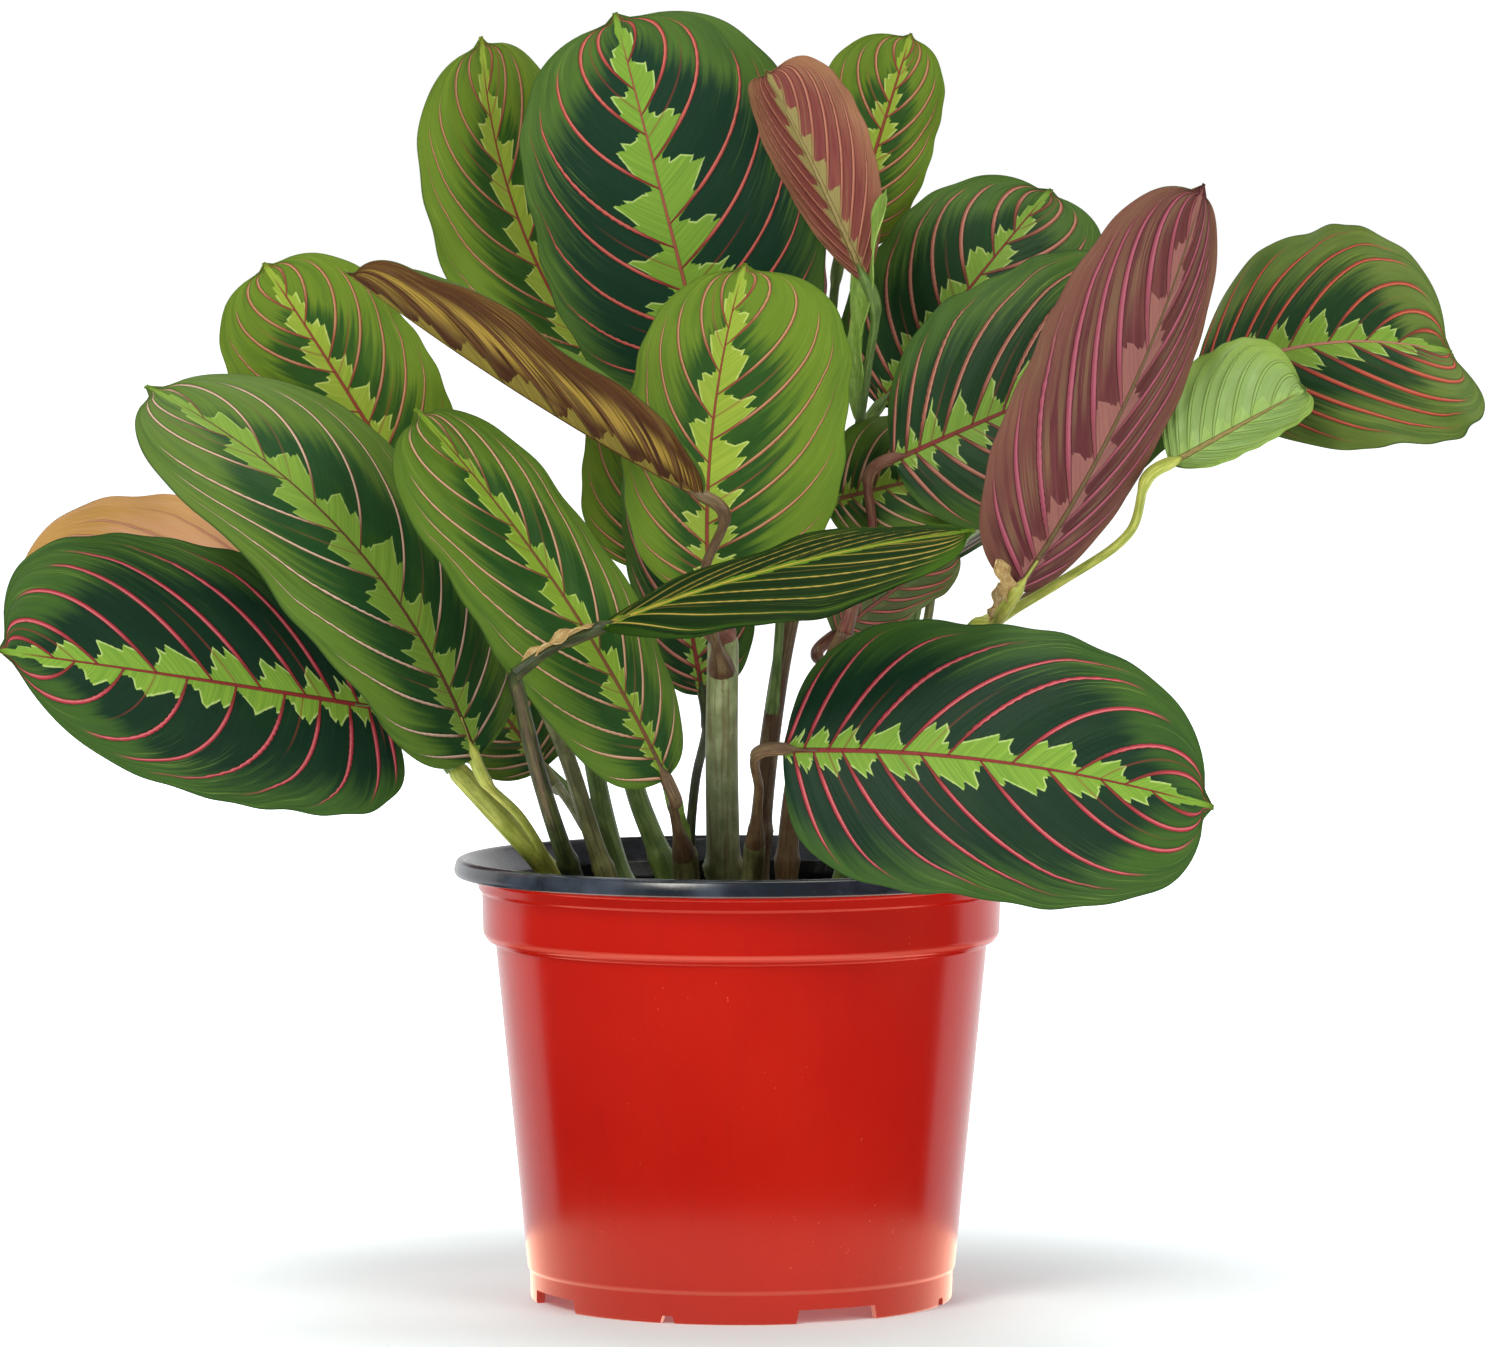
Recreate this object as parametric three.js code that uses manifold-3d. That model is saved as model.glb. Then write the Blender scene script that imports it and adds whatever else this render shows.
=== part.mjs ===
// A red prayer plant in its round plastic nursery pot, in millimetres, +Z up.
// The origin is the middle of the pot's foot, on the surface that it stands on. -Y faces the viewer.
// Each cane and each leaf (blade, joint and stalk) is one solid. Canes stand in holes in the soil,
// and a leaf's stalk is cut to sit just clear of the cane that carries it.
import * as THREE from "three";
import { mergeVertices } from "three/addons/utils/BufferGeometryUtils.js";
import Module from "manifold-3d";

const wasm = await Module();
wasm.setup();

// Driving dimensions
const LIP_RADIUS = 82.5; // a 165 mm nursery pot
const POT_HEIGHT = 127;
const FOOT_RADIUS = 60.5;
const WALL = 1.2;
const FLOOR_UNDER = 5.2;
const FLOOR_TOP = 6.6;
const SOIL_TOP = 109;
const CLEARANCE = 0.3; // between neighbours that touch on the real plant
const BLADE_THICKNESS = 0.8;
const BLUNTNESS = [2.6, 2.6];
const TIP_POINT = 0.025; // the small point, as a share of the blade
const TIP_SLOPE = 4.2; // how fast the point widens, as shares of the width and the length
const WAVES = 2.5; // along each edge
const WAVE_HEIGHT = 1.2;
const FOLD_ROUNDING = 1; // at the midrib
const STALK_RADIUS = 1.35;
const JOINT_RADIUS = 1.9; // the swollen joint under each blade
const JOINT_LENGTH = 12;
const STALK_LEAD = 7; // the stalk's straight end before the blade
const STALK_END = { share: 0.08, radius: 0.8 }; // inside the midrib, as a share of the blade
const CANE_JOINT = 1 / 3; // of the cane's length
const JOINT_SWELL = 1.25;
const DRAIN_START = 27 - 90; // the first drain slot, in degrees round the pot from +X
const DRAIN_SLOT = { start: DRAIN_START, width: 25, height: 4 };
const DRAIN_NICK = { start: -20 - 90, width: 4, height: 2.2 };
const DRAIN_HOLE = { radius: 4.5, at: 34 };
const DRAINS = 4; // of each kind
const LUMPY_RADIUS = 62; // the soil's outer ring is flat

// Detail
const POT_SEGMENTS = 40;
const SOIL_SEGMENTS = 24;
const BLADE_GRID = [12, 4]; // rows along the blade, and columns across it
const SHEATH_GRID = [5, 2];
const STALK_SIDES = 4;
const STALK_STEPS = 6;
const CANE_SIDES = 6;
const CANE_STEPS = 6;

const material = (color, roughness) => {
  return new THREE.MeshStandardMaterial({ color, roughness, metalness: 0 });
};
const POT_PLASTIC = material(0xc8230c, 0.35);
const SOIL = material(0x2b2019, 0.95);
const CANE = material(0x5a6b3a, 0.6);
const LEAF_COLOURS = {
  mature: material(0x1f4a2c, 0.45),
  fresh: material(0x5c9433, 0.45),
  young: material(0x8a4a48, 0.5),
};

// Canes: the route of each one, from inside the soil to its top, and its radius at both ends.
const CANES = {
  stem_left: {
    route: [[-34, -16, 92], [-54, -25, 124], [-68, -36, 141], [-81, -44, 156]], radii: [3.6, 3.0],
  },
  stem_left_front: {
    route: [[-34, -30, 92], [-47, -42, 124], [-55, -73, 152], [-62, -108, 186]], radii: [3.0, 2.0],
  },
  stem_left_inner: {
    route: [[-24, -12, 92], [-39, -14, 124], [-51, -14, 160], [-66, -14, 190]], radii: [3.0, 2.0],
  },
  stem_centre_left: {
    route: [[-12, -4, 92], [-22, -5, 124], [-32, -2, 154], [-30, 6, 196]], radii: [3.6, 2.4],
  },
  stem_front_centre: { route: [[-11, -26, 92], [-15, -36, 118], [-16, -44, 134]], radii: [4.4, 3.6] },
  stem_centre: {
    route: [[-4, -14, 92], [-5, -24, 126], [-5.5, -31, 160], [-5, -36, 194]], radii: [5.0, 4.4],
  },
  stem_centre_right: {
    route: [[6, -2, 92], [5, -6, 126], [11, -6, 180], [19, 2, 216]], radii: [3.4, 2.4],
  },
  stem_front_right: { route: [[3, -24, 92], [3, -36, 120], [4, -46, 136]], radii: [3.6, 3.0] },
  stem_right: {
    route: [[15, -16, 92], [13, -20, 126], [19, -24, 168], [30, -27, 194]], radii: [3.4, 2.4],
  },
  stem_far_right: {
    route: [[24, -6, 92], [30, -16, 124], [46, -32, 164], [68, -44, 197]], radii: [3.6, 3.0],
  },
  stem_back_left: { route: [[-24, 18, 92], [-37, 30, 125], [-46, 40, 165]], radii: [3.6, 2.6] },
  stem_back: { route: [[-4, 24, 92], [-5, 36, 130], [-6, 46, 185]], radii: [4.0, 2.8] },
  stem_back_right: { route: [[22, 16, 92], [34, 28, 125], [44, 40, 168]], radii: [3.6, 2.6] },
};

// Leaves. on and at say where on which cane the stalk grows, and via is what the stalk passes.
// base and tip are the ends of the blade's midrib, and facing is the way that its upper side looks.
// halves are the blade's widths left and right of the midrib, seen from above with the tip ahead.
// Shares of the blade's length: arch lifts the midrib's middle towards facing, bend moves it right.
// slide moves each half (left, right) towards the tip, as these blades are lopsided.
// blunt is how square the blade's base and tip are: 2 is an ellipse, and less is pointed.
// Degrees: fold lifts each half (left, right).
// cup lifts both edges, as a share of the half's width.
// sheaths are narrow folded bracts that wrap the stalk.
const LEAVES = {
  leaf_left_low: {
    on: "stem_left", at: 0.99, base: [-100, -47, 172], tip: [-206, -72, 190], facing: [0, -1, 0.2],
    halves: [33, 38], slide: [-0.7, 0.3], fold: [4, 4], arch: 0.03, tone: "mature",
  },
  leaf_left_behind: {
    on: "stem_left", at: 0.8, via: [[-80, -26, 154]], base: [-99, -12, 175], tip: [-209, -20, 199],
    facing: [0, 1, 0.15], halves: [42, 28], slide: [0.2, 0], fold: [8, 8], arch: 0.02,
    blunt: [2.4, 2.2], tone: "young",
  },
  leaf_left_mid: {
    on: "stem_left", at: 0.35, via: [[-62, -48, 142]], base: [-74, -62, 160], tip: [-165, -68, 263],
    facing: [0.55, -0.65, 0.5], halves: [36, 39], arch: 0.11, bend: 0.03, slide: [0.12, -0.12],
    tone: "mature",
  },
  leaf_left_under: {
    on: "stem_left_inner", at: 0.45, via: [[-52, 0, 146]], base: [-57, 5, 152], tip: [-90, 22, 192],
    facing: [0.2, -0.9, 0.4], halves: [20, 20], tone: "fresh",
  },
  leaf_back_left: {
    on: "stem_left_inner", at: 0.98, via: [[-80, -8, 212]], base: [-93, -4, 228], tip: [-136, -8, 297],
    facing: [0.1, -0.95, 0.3], halves: [28, 26], slide: [0.1, 0], tone: "fresh",
  },
  leaf_centre_left: {
    on: "stem_front_centre", at: 0.9, via: [[-19, -58, 146]], base: [-21, -66, 154],
    tip: [-90, -78, 257], facing: [0.55, -0.72, 0.4], halves: [32, 22], arch: 0.06, slide: [0.15, 0],
    tone: "mature",
    sheaths: [
      {
        base: [-15, -42, 131], tip: [-21, -64, 153], facing: [0, 0.7, 0.7],
        halves: [3, 3], fold: [45, 45],
      },
    ],
  },
  leaf_top_left: {
    on: "stem_centre_left", at: 0.98, via: [[-27, 12, 226]], base: [-34, 16, 257], tip: [-75, 20, 362],
    facing: [0.6, -0.75, 0.15], halves: [32, 28], arch: -0.03, bend: -0.08, tone: "fresh",
  },
  leaf_low_centre: {
    on: "stem_front_centre", at: 0.75, via: [[-13, -22, 150]], base: [-11, -4, 174], tip: [-24, 0, 250],
    facing: [-0.1, -0.95, 0.1], halves: [15, 20], tone: "mature",
  },
  leaf_brown: {
    on: "stem_centre", at: 0.88, via: [[-10, -70, 212]], base: [-11, -77, 232], tip: [-110, -67, 295],
    facing: [0.54, 0.1, 0.84], halves: [24, 24], arch: -0.02, fold: [52, 58], blunt: [2.2, 2.4],
    tone: "young",
  },
  leaf_top_centre: {
    on: "stem_centre", at: 0.85, via: [[-6, -17, 208], [-8, -11, 243]], base: [-8, 0, 259],
    tip: [-36, -6, 368], facing: [0, -1, 0.1], halves: [38, 44], slide: [0, 0.05], fold: [5, 5],
    tone: "mature",
  },
  leaf_centre: {
    on: "stem_centre", at: 0.98, base: [-9, -43, 203], tip: [1, -44, 297], facing: [0.15, -1, 0.15],
    halves: [27, 38], slide: [0, 0.12], fold: [20, 6], bend: -0.05, tone: "fresh",
  },
  leaf_young_red: {
    on: "stem_centre_right", at: 0.98, via: [[31, -4, 240], [36, -14, 268]], base: [35, -20, 292],
    tip: [7, -34, 351], facing: [0.2, 0.95, 0.1], halves: [18, 15], fold: [15, 35], cup: 0.1,
    slide: [0.35, 0.2], blunt: [1.7, 2.8], tone: "young",
    sheaths: [
      {
        base: [33, -6, 252], tip: [41, -24, 318], facing: [-0.8, -0.6, 0],
        halves: [5, 5], fold: [35, 35],
      },
    ],
  },
  leaf_back_top_right: {
    on: "stem_centre_right", at: 0.92, via: [[24, 22, 250]], base: [30, 28, 302], tip: [49, 24, 363],
    facing: [0.1, -1, 0.1], halves: [22, 16], tone: "fresh",
  },
  leaf_right_back: {
    on: "stem_centre_right", at: 0.75, via: [[26, 14, 230]], base: [40, 14, 256], tip: [89, 12, 318],
    facing: [-0.1, -0.95, 0.3], halves: [29, 30], slide: [0, 0.45], blunt: [2.6, 2.2], tone: "mature",
  },
  leaf_right_inner: {
    on: "stem_centre_right", at: 0.6, via: [[13, -12, 212]], base: [24, -17, 229], tip: [76, -14, 240],
    facing: [0, -0.9, 0.4], halves: [22, 18], tone: "mature",
  },
  leaf_right_mid: {
    on: "stem_right", at: 0.98, via: [[37, -25, 220]], base: [43, -24, 241], tip: [125, -26, 275],
    facing: [-0.1, -0.95, 0.25], halves: [38, 33], slide: [0.2, 0], tone: "mature",
  },
  leaf_low_behind: {
    on: "stem_right", at: 0.75, via: [[24, -6, 180]], base: [27, 5, 190], tip: [63, 12, 215],
    facing: [0, 0.8, 0.6], halves: [12, 20], tone: "mature",
  },
  leaf_purple: {
    on: "stem_far_right", at: 0.98, via: [[71, -50, 196]], base: [77, -60, 206], tip: [128, -72, 319],
    facing: [0.1, 1, 0.1], halves: [22, 30], bend: -0.045, fold: [54, 10], arch: 0.02, slide: [0, 0.12],
    blunt: [2.4, 2.1], tone: "young",
    sheaths: [
      {
        base: [75, -60, 202], tip: [71, -65, 215], facing: [0.6, -0.8, 0],
        halves: [3, 3], fold: [30, 30],
      },
      {
        base: [69.5, -47, 196], tip: [72, -54, 208], facing: [0.7, -0.7, 0],
        halves: [3.4, 3.4], fold: [30, 30],
      },
    ],
  },
  leaf_right_far: {
    on: "stem_far_right", at: 0.93, via: [[96, -26, 216], [118, -6, 246]], base: [130, 8, 262],
    tip: [199, -46, 272], facing: [0, -0.95, 0.35], halves: [36, 34.5], slide: [0, 1.22], bend: -0.07,
    blunt: [2.4, 2], tone: "mature",
  },
  leaf_pale_young: {
    on: "stem_far_right", at: 0.97, via: [[90, -44, 208], [109, -47, 222]], base: [120, -50, 241],
    tip: [158, -50, 262], facing: [0.2, 0.9, 0.1], halves: [8, 22], cup: 0.25, slide: [0.7, 0.2],
    tone: "fresh",
  },
  leaf_front_narrow: {
    on: "stem_left_front", at: 0.99, via: [[-52, -106, 192]], base: [-38, -104, 198],
    tip: [64, -100, 224], facing: [-0.15, -0.4, 0.9], halves: [23, 25], fold: [-6, -6], blunt: [1.5, 2],
    tone: "fresh",
    sheaths: [
      {
        base: [-61, -106, 187], tip: [-40, -105, 199], facing: [-0.1, -0.3, 0.9],
        halves: [2.6, 2.6], fold: [40, 40],
      },
    ],
  },
  leaf_front_right: {
    on: "stem_front_right", at: 0.95, via: [[5, -64, 150]], base: [12, -86, 163], tip: [129, -108, 149],
    facing: [0.05, -0.95, 0.3], halves: [39, 39], slide: [0, 0.18], bend: -0.03, fold: [4, 4],
    blunt: [3.4, 2.3], tone: "mature",
  },
  leaf_rear_left_low: {
    on: "stem_back_left", at: 0.6, via: [[-60, 44, 152]], base: [-74, 52, 164], tip: [-158, 84, 172],
    facing: [-0.2, 0.6, 0.8], halves: [33, 33], arch: 0.08, tone: "mature",
  },
  leaf_rear_left: {
    on: "stem_back_left", at: 0.98, via: [[-56, 50, 186]], base: [-64, 62, 206], tip: [-112, 110, 236],
    facing: [-0.3, 0.6, 0.7], halves: [34, 34], arch: 0.08, tone: "mature",
  },
  leaf_rear_left_high: {
    on: "stem_back_left", at: 0.9, via: [[-40, 42, 188]], base: [-30, 42, 208], tip: [-16, 46, 282],
    facing: [0, -0.9, 0.3], halves: [22, 24], tone: "fresh",
  },
  leaf_rear_high: {
    on: "stem_back", at: 0.95, via: [[-8, 50, 225]], base: [-10, 54, 250], tip: [-14, 84, 338],
    facing: [0, 0.9, 0.4], halves: [37, 37], arch: 0.06, tone: "mature",
  },
  leaf_rear: {
    on: "stem_back", at: 0.8, via: [[0, 62, 190]], base: [2, 74, 208], tip: [14, 128, 194],
    facing: [0, 0.8, 0.6], halves: [37, 37], arch: 0.12, tone: "mature",
  },
  leaf_rear_young: {
    on: "stem_back", at: 0.88, via: [[-16, 58, 196]], base: [-18, 68, 226], tip: [-46, 104, 276],
    facing: [-0.2, 0.8, 0.5], halves: [18, 18], fold: [28, 28], tone: "fresh",
  },
  leaf_rear_right_low: {
    on: "stem_back_right", at: 0.6, via: [[58, 44, 152]], base: [70, 52, 164], tip: [112, 96, 142],
    facing: [0.2, 0.6, 0.8], halves: [34, 34], arch: 0.1, tone: "mature",
  },
  leaf_rear_right: {
    on: "stem_back_right", at: 0.98, via: [[54, 52, 190]], base: [60, 60, 208], tip: [106, 112, 226],
    facing: [0.3, 0.6, 0.7], halves: [35, 35], arch: 0.1, tone: "mature",
  },
  leaf_rear_right_high: {
    on: "stem_back_right", at: 0.82, via: [[52, 40, 200]], base: [58, 40, 232], tip: [98, 62, 302],
    facing: [0.35, 0.8, 0.4], halves: [29, 29], arch: 0.06, tone: "fresh",
  },
};

const radians = THREE.MathUtils.degToRad;
const vector = (list) => new THREE.Vector3(...list);

// A closed mesh as a manifold solid.
function solidOf(geometry) {
  const bare = new THREE.BufferGeometry()
    .setAttribute("position", geometry.getAttribute("position"))
    .setIndex(geometry.index);
  const merged = mergeVertices(bare, 1e-4);
  return new wasm.Manifold(
    new wasm.Mesh({
      numProp: 3,
      vertProperties: new Float32Array(merged.attributes.position.array),
      triVerts: new Uint32Array(merged.index.array),
    }),
  );
}

// A manifold solid back as three.js geometry.
function geometryOf(solid) {
  const mesh = solid.getMesh();
  const positions = new Float32Array(mesh.numVert * 3);
  for (let i = 0; i < mesh.numVert; i++)
    positions.set(mesh.vertProperties.subarray(i * mesh.numProp, i * mesh.numProp + 3), i * 3);
  const geometry = new THREE.BufferGeometry();
  geometry.setAttribute("position", new THREE.BufferAttribute(positions, 3));
  geometry.setIndex(new THREE.BufferAttribute(mesh.triVerts, 1));
  geometry.computeVertexNormals();
  return geometry;
}

function lathe(profile, segments) {
  const points = profile.map(([radius, z]) => new THREE.Vector2(radius, z));
  return new THREE.LatheGeometry(points, segments).rotateX(Math.PI / 2);
}

function geometryFrom(positions, index) {
  const geometry = new THREE.BufferGeometry();
  geometry.setAttribute("position", new THREE.BufferAttribute(new Float32Array(positions), 3));
  geometry.setIndex(index);
  return geometry;
}

// A round bar along a curve, whose radius is radiusAt(u) with u from 0 to 1.
function bar(curve, radiusAt, sides, steps) {
  const frames = curve.computeFrenetFrames(steps);
  const positions = [];
  const index = [];
  for (let i = 0; i <= steps; i++) {
    const u = i / steps;
    const centre = curve.getPointAt(u);
    for (let k = 0; k < sides; k++) {
      const angle = (2 * Math.PI * k) / sides;
      const point = centre
        .clone()
        .addScaledVector(frames.normals[i], radiusAt(u) * Math.cos(angle))
        .addScaledVector(frames.binormals[i], radiusAt(u) * Math.sin(angle));
      positions.push(...point.toArray());
    }
  }
  for (let i = 0; i < steps; i++)
    for (let k = 0; k < sides; k++) {
      const a = i * sides + k;
      const b = i * sides + ((k + 1) % sides);
      index.push(a, b, a + sides, b, b + sides, a + sides);
    }
  for (const [end, ring] of [[0, 0], [1, steps]]) {
    const centre = positions.length / 3;
    positions.push(...curve.getPointAt(end).toArray());
    for (let k = 0; k < sides; k++) {
      const a = ring * sides + k;
      const b = ring * sides + ((k + 1) % sides);
      index.push(...(end ? [centre, a, b] : [centre, b, a]));
    }
  }
  return geometryFrom(positions, index);
}

// Half the blade's width, as a share of its widest, at s from the base (0) to the tip (1).
function outline(s, blunt = BLUNTNESS) {
  const power = s < 0.5 ? blunt[0] : blunt[1];
  const along = Math.min(1, s / (1 - TIP_POINT));
  const oval = Math.pow(1 - Math.pow(Math.abs(2 * along - 1), power), 1 / power);
  const point = s > 0.9 ? TIP_SLOPE * (1 - s) : 0;
  return Math.max(oval, point, 0.02);
}

// The blade's own axes: along the chord, out of its upper side, and to its right.
function bladeAxes(leaf) {
  const base = vector(leaf.base);
  const along = vector(leaf.tip).sub(base);
  const length = along.length();
  along.normalize();
  const facing = vector(leaf.facing);
  const normal = facing.addScaledVector(along, -facing.dot(along)).normalize();
  const right = new THREE.Vector3().crossVectors(along, normal);
  return { base, along, right, normal, length };
}

function midrib(leaf, axes, s) {
  const rise = 4 * s * (1 - s) * axes.length;
  return axes.base
    .clone()
    .addScaledVector(axes.along, axes.length * s)
    .addScaledVector(axes.normal, (leaf.arch ?? 0.04) * rise)
    .addScaledVector(axes.right, (leaf.bend ?? 0) * rise);
}

// A point of the blade: s along the midrib, t across it from -1 to 1, lifted off the middle surface.
function bladePoint(leaf, axes, s, t, lift) {
  const side = Math.sign(t);
  const half = leaf.halves[t < 0 ? 0 : 1] * outline(s, leaf.blunt);
  const reach = Math.abs(t) * half;
  const fold = radians((leaf.fold ?? [6, 6])[t < 0 ? 0 : 1]);
  const softened = Math.hypot(reach, FOLD_ROUNDING) - FOLD_ROUNDING;
  const waves = Math.sin(2 * Math.PI * (WAVES * s + 0.3 * side)) * outline(s);
  const height = softened * Math.sin(fold) + (leaf.cup ?? -0.08) * half * t * t;
  return midrib(leaf, axes, s)
    .addScaledVector(axes.along, (leaf.slide ?? [0, 0])[t < 0 ? 0 : 1] * reach)
    .addScaledVector(axes.right, side * reach * Math.cos(fold))
    .addScaledVector(axes.normal, height + WAVE_HEIGHT * Math.abs(t) ** 3 * waves + lift);
}

// A blade or a sheath: two like grids, one for each face, joined round the edge.
function blade(leaf, [rows, columns]) {
  const axes = bladeAxes(leaf);
  const positions = [];
  const index = [];
  const stride = columns + 1;
  const face = stride * (rows + 1);
  for (const lift of [BLADE_THICKNESS / 2, -BLADE_THICKNESS / 2])
    for (let i = 0; i <= rows; i++)
      for (let j = 0; j <= columns; j++) {
        const s = 0.5 - 0.5 * Math.cos((Math.PI * i) / rows);
        positions.push(...bladePoint(leaf, axes, s, (2 * j) / columns - 1, lift).toArray());
      }
  for (let i = 0; i < rows; i++)
    for (let j = 0; j < columns; j++) {
      const a = i * stride + j;
      const [b, c, d] = [a + 1, a + stride, a + stride + 1];
      const split = j < columns / 2 ? [[a, c, b], [b, c, d]] : [[a, c, d], [a, d, b]];
      for (const [p, q, r] of split) index.push(p, r, q, p + face, q + face, r + face);
    }
  const edge = [];
  for (let j = 0; j < columns; j++) edge.push(j);
  for (let i = 0; i < rows; i++) edge.push(i * stride + columns);
  for (let j = columns; j > 0; j--) edge.push(rows * stride + j);
  for (let i = rows; i > 0; i--) edge.push(i * stride);
  edge.forEach((a, k) => {
    const b = edge[(k + 1) % edge.length];
    index.push(a, a + face, b, b, a + face, b + face);
  });
  return geometryFrom(positions, index);
}

const caneCurve = (cane) => new THREE.CatmullRomCurve3(cane.route.map(vector));

// A cane swells at the joint just over the soil.
function caneSolid(cane, extra = 0) {
  const [low, high] = cane.radii;
  const swelling = (u) => (Math.abs(u - CANE_JOINT) < 0.01 ? JOINT_SWELL : 1);
  const radiusAt = (u) => THREE.MathUtils.lerp(low, high, u) * swelling(u) + extra;
  return solidOf(bar(caneCurve(cane), radiusAt, CANE_SIDES, CANE_STEPS));
}

// The stalk runs from the cane's middle to the blade, swells under it, and ends inside its midrib.
function stalk(leaf) {
  const axes = bladeAxes(leaf);
  const heading = midrib(leaf, axes, 0.02).sub(axes.base).normalize();
  const root = caneCurve(CANES[leaf.on]).getPointAt(leaf.at);
  const before = axes.base.clone().addScaledVector(heading, -STALK_LEAD);
  const inside = midrib(leaf, axes, STALK_END.share);
  const route = [root, ...(leaf.via ?? []).map(vector), before, inside];
  const curve = new THREE.CatmullRomCurve3(route, false, "centripetal");
  const length = curve.getLength();
  const radiusAt = (u) => {
    const left = (1 - u) * length - STALK_END.share * axes.length; // what is left to the blade
    if (left < 0) return STALK_END.radius;
    return left < JOINT_LENGTH ? JOINT_RADIUS : STALK_RADIUS;
  };
  return bar(curve, radiusAt, STALK_SIDES, STALK_STEPS);
}

function leafSolid(leaf) {
  const cane = caneSolid(CANES[leaf.on], CLEARANCE);
  let solid = solidOf(stalk(leaf)).add(solidOf(blade(leaf, BLADE_GRID)));
  for (const sheath of leaf.sheaths ?? []) solid = solid.add(solidOf(blade(sheath, SHEATH_GRID)));
  return solid.subtract(cane);
}

function potGeometry() {
  const profile = [
    [0, FLOOR_UNDER],
    [FOOT_RADIUS - 2.4, FLOOR_UNDER],
    [FOOT_RADIUS - 2.6, 0],
    [FOOT_RADIUS, 0],
    [60.8, 8.4],
    [61.4, 9.2],
    [70.5, 102.2],
    [72.8, 103.2],
    [74.1, 105.4],
    [74.4, 117],
    [75.3, 117.8],
    [75.8, 120.6],
    [LIP_RADIUS - 0.6, 121.8],
    [LIP_RADIUS, 123.4],
    [LIP_RADIUS - 0.8, 126.2],
    [LIP_RADIUS - 2.6, POT_HEIGHT],
    [78.6, 126],
    [74.6, 120.4],
    [74.4 - WALL, 116],
    [72.9, 104.6],
    [70.4 - WALL, 100.6],
    [60.9 - WALL, FLOOR_TOP],
    [0, FLOOR_TOP],
  ];
  let solid = solidOf(lathe(profile, POT_SEGMENTS));
  // Drain slots through the foot: four wide ones, with a nick halfway between each two.
  for (let k = 0; k < DRAINS; k++) {
    const turn = (360 * k) / DRAINS;
    for (const { start, width, height } of [DRAIN_SLOT, DRAIN_NICK]) {
      const slot = new THREE.BoxGeometry(12, width, 2 * height);
      slot.translate(FOOT_RADIUS, 0, 0).rotateZ(radians(start + turn));
      solid = solid.subtract(solidOf(slot));
    }
    const hole = new THREE.CylinderGeometry(DRAIN_HOLE.radius, DRAIN_HOLE.radius, 6, 10);
    hole.rotateX(Math.PI / 2).translate(DRAIN_HOLE.at, 0, FLOOR_TOP).rotateZ(radians(DRAIN_START + turn));
    solid = solid.subtract(solidOf(hole));
  }
  return geometryOf(solid);
}

// The soil fills the pot to just under the rim, with a lumpy top and a hole for each cane.
function soilGeometry() {
  const clear = WALL + CLEARANCE;
  const rings = [70.5 - clear, 56, 42, 28, 14, 0];
  const low = FLOOR_TOP + CLEARANCE;
  const profile = [
    [0, low],
    [60.9 - clear, low],
    [70.3 - clear, 100.6],
    ...rings.map((radius) => [radius, SOIL_TOP]),
  ];
  const geometry = lathe(profile, SOIL_SEGMENTS);
  const position = geometry.getAttribute("position");
  for (let i = 0; i < position.count; i++) {
    const [x, y, z] = [position.getX(i), position.getY(i), position.getZ(i)];
    if (z < SOIL_TOP - 0.1 || Math.hypot(x, y) > LUMPY_RADIUS) continue;
    const large = 1.3 * Math.sin(0.21 * x + 0.8) * Math.cos(0.17 * y);
    const small = 0.9 * Math.sin(0.43 * x - 0.37 * y);
    position.setZ(i, z + large + small);
  }
  let solid = solidOf(geometry);
  for (const cane of Object.values(CANES)) solid = solid.subtract(caneSolid(cane, CLEARANCE));
  return geometryOf(solid);
}

const plant = new THREE.Group();

function add(name, geometry, finish) {
  const mesh = new THREE.Mesh(geometry, finish);
  mesh.name = name;
  plant.add(mesh);
}

add("pot", potGeometry(), POT_PLASTIC);
add("potting_soil", soilGeometry(), SOIL);
for (const [name, cane] of Object.entries(CANES)) add(name, geometryOf(caneSolid(cane)), CANE);
for (const [name, leaf] of Object.entries(LEAVES)) {
  add(name, geometryOf(leafSolid(leaf)), LEAF_COLOURS[leaf.tone]);
}

export default plant;
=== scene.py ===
# A red prayer plant in its nursery pot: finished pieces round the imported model.
# Sizes are in millimetres in the tables and are turned into metres where a mesh is made.
import math
from collections import namedtuple
from dataclasses import dataclass

import bpy
import numpy as np
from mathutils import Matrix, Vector


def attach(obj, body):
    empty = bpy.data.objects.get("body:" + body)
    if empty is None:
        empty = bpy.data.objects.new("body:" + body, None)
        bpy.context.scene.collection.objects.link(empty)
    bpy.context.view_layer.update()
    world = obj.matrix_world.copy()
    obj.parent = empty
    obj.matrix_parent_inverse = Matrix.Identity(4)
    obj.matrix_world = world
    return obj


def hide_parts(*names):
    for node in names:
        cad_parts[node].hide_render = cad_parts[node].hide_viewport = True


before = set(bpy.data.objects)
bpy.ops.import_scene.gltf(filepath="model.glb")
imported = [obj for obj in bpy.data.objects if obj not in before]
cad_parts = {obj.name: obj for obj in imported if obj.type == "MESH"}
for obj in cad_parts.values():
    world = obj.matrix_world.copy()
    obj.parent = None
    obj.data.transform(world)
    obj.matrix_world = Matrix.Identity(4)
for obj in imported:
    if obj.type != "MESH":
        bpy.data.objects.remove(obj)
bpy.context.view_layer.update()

MM = 0.001

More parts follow.
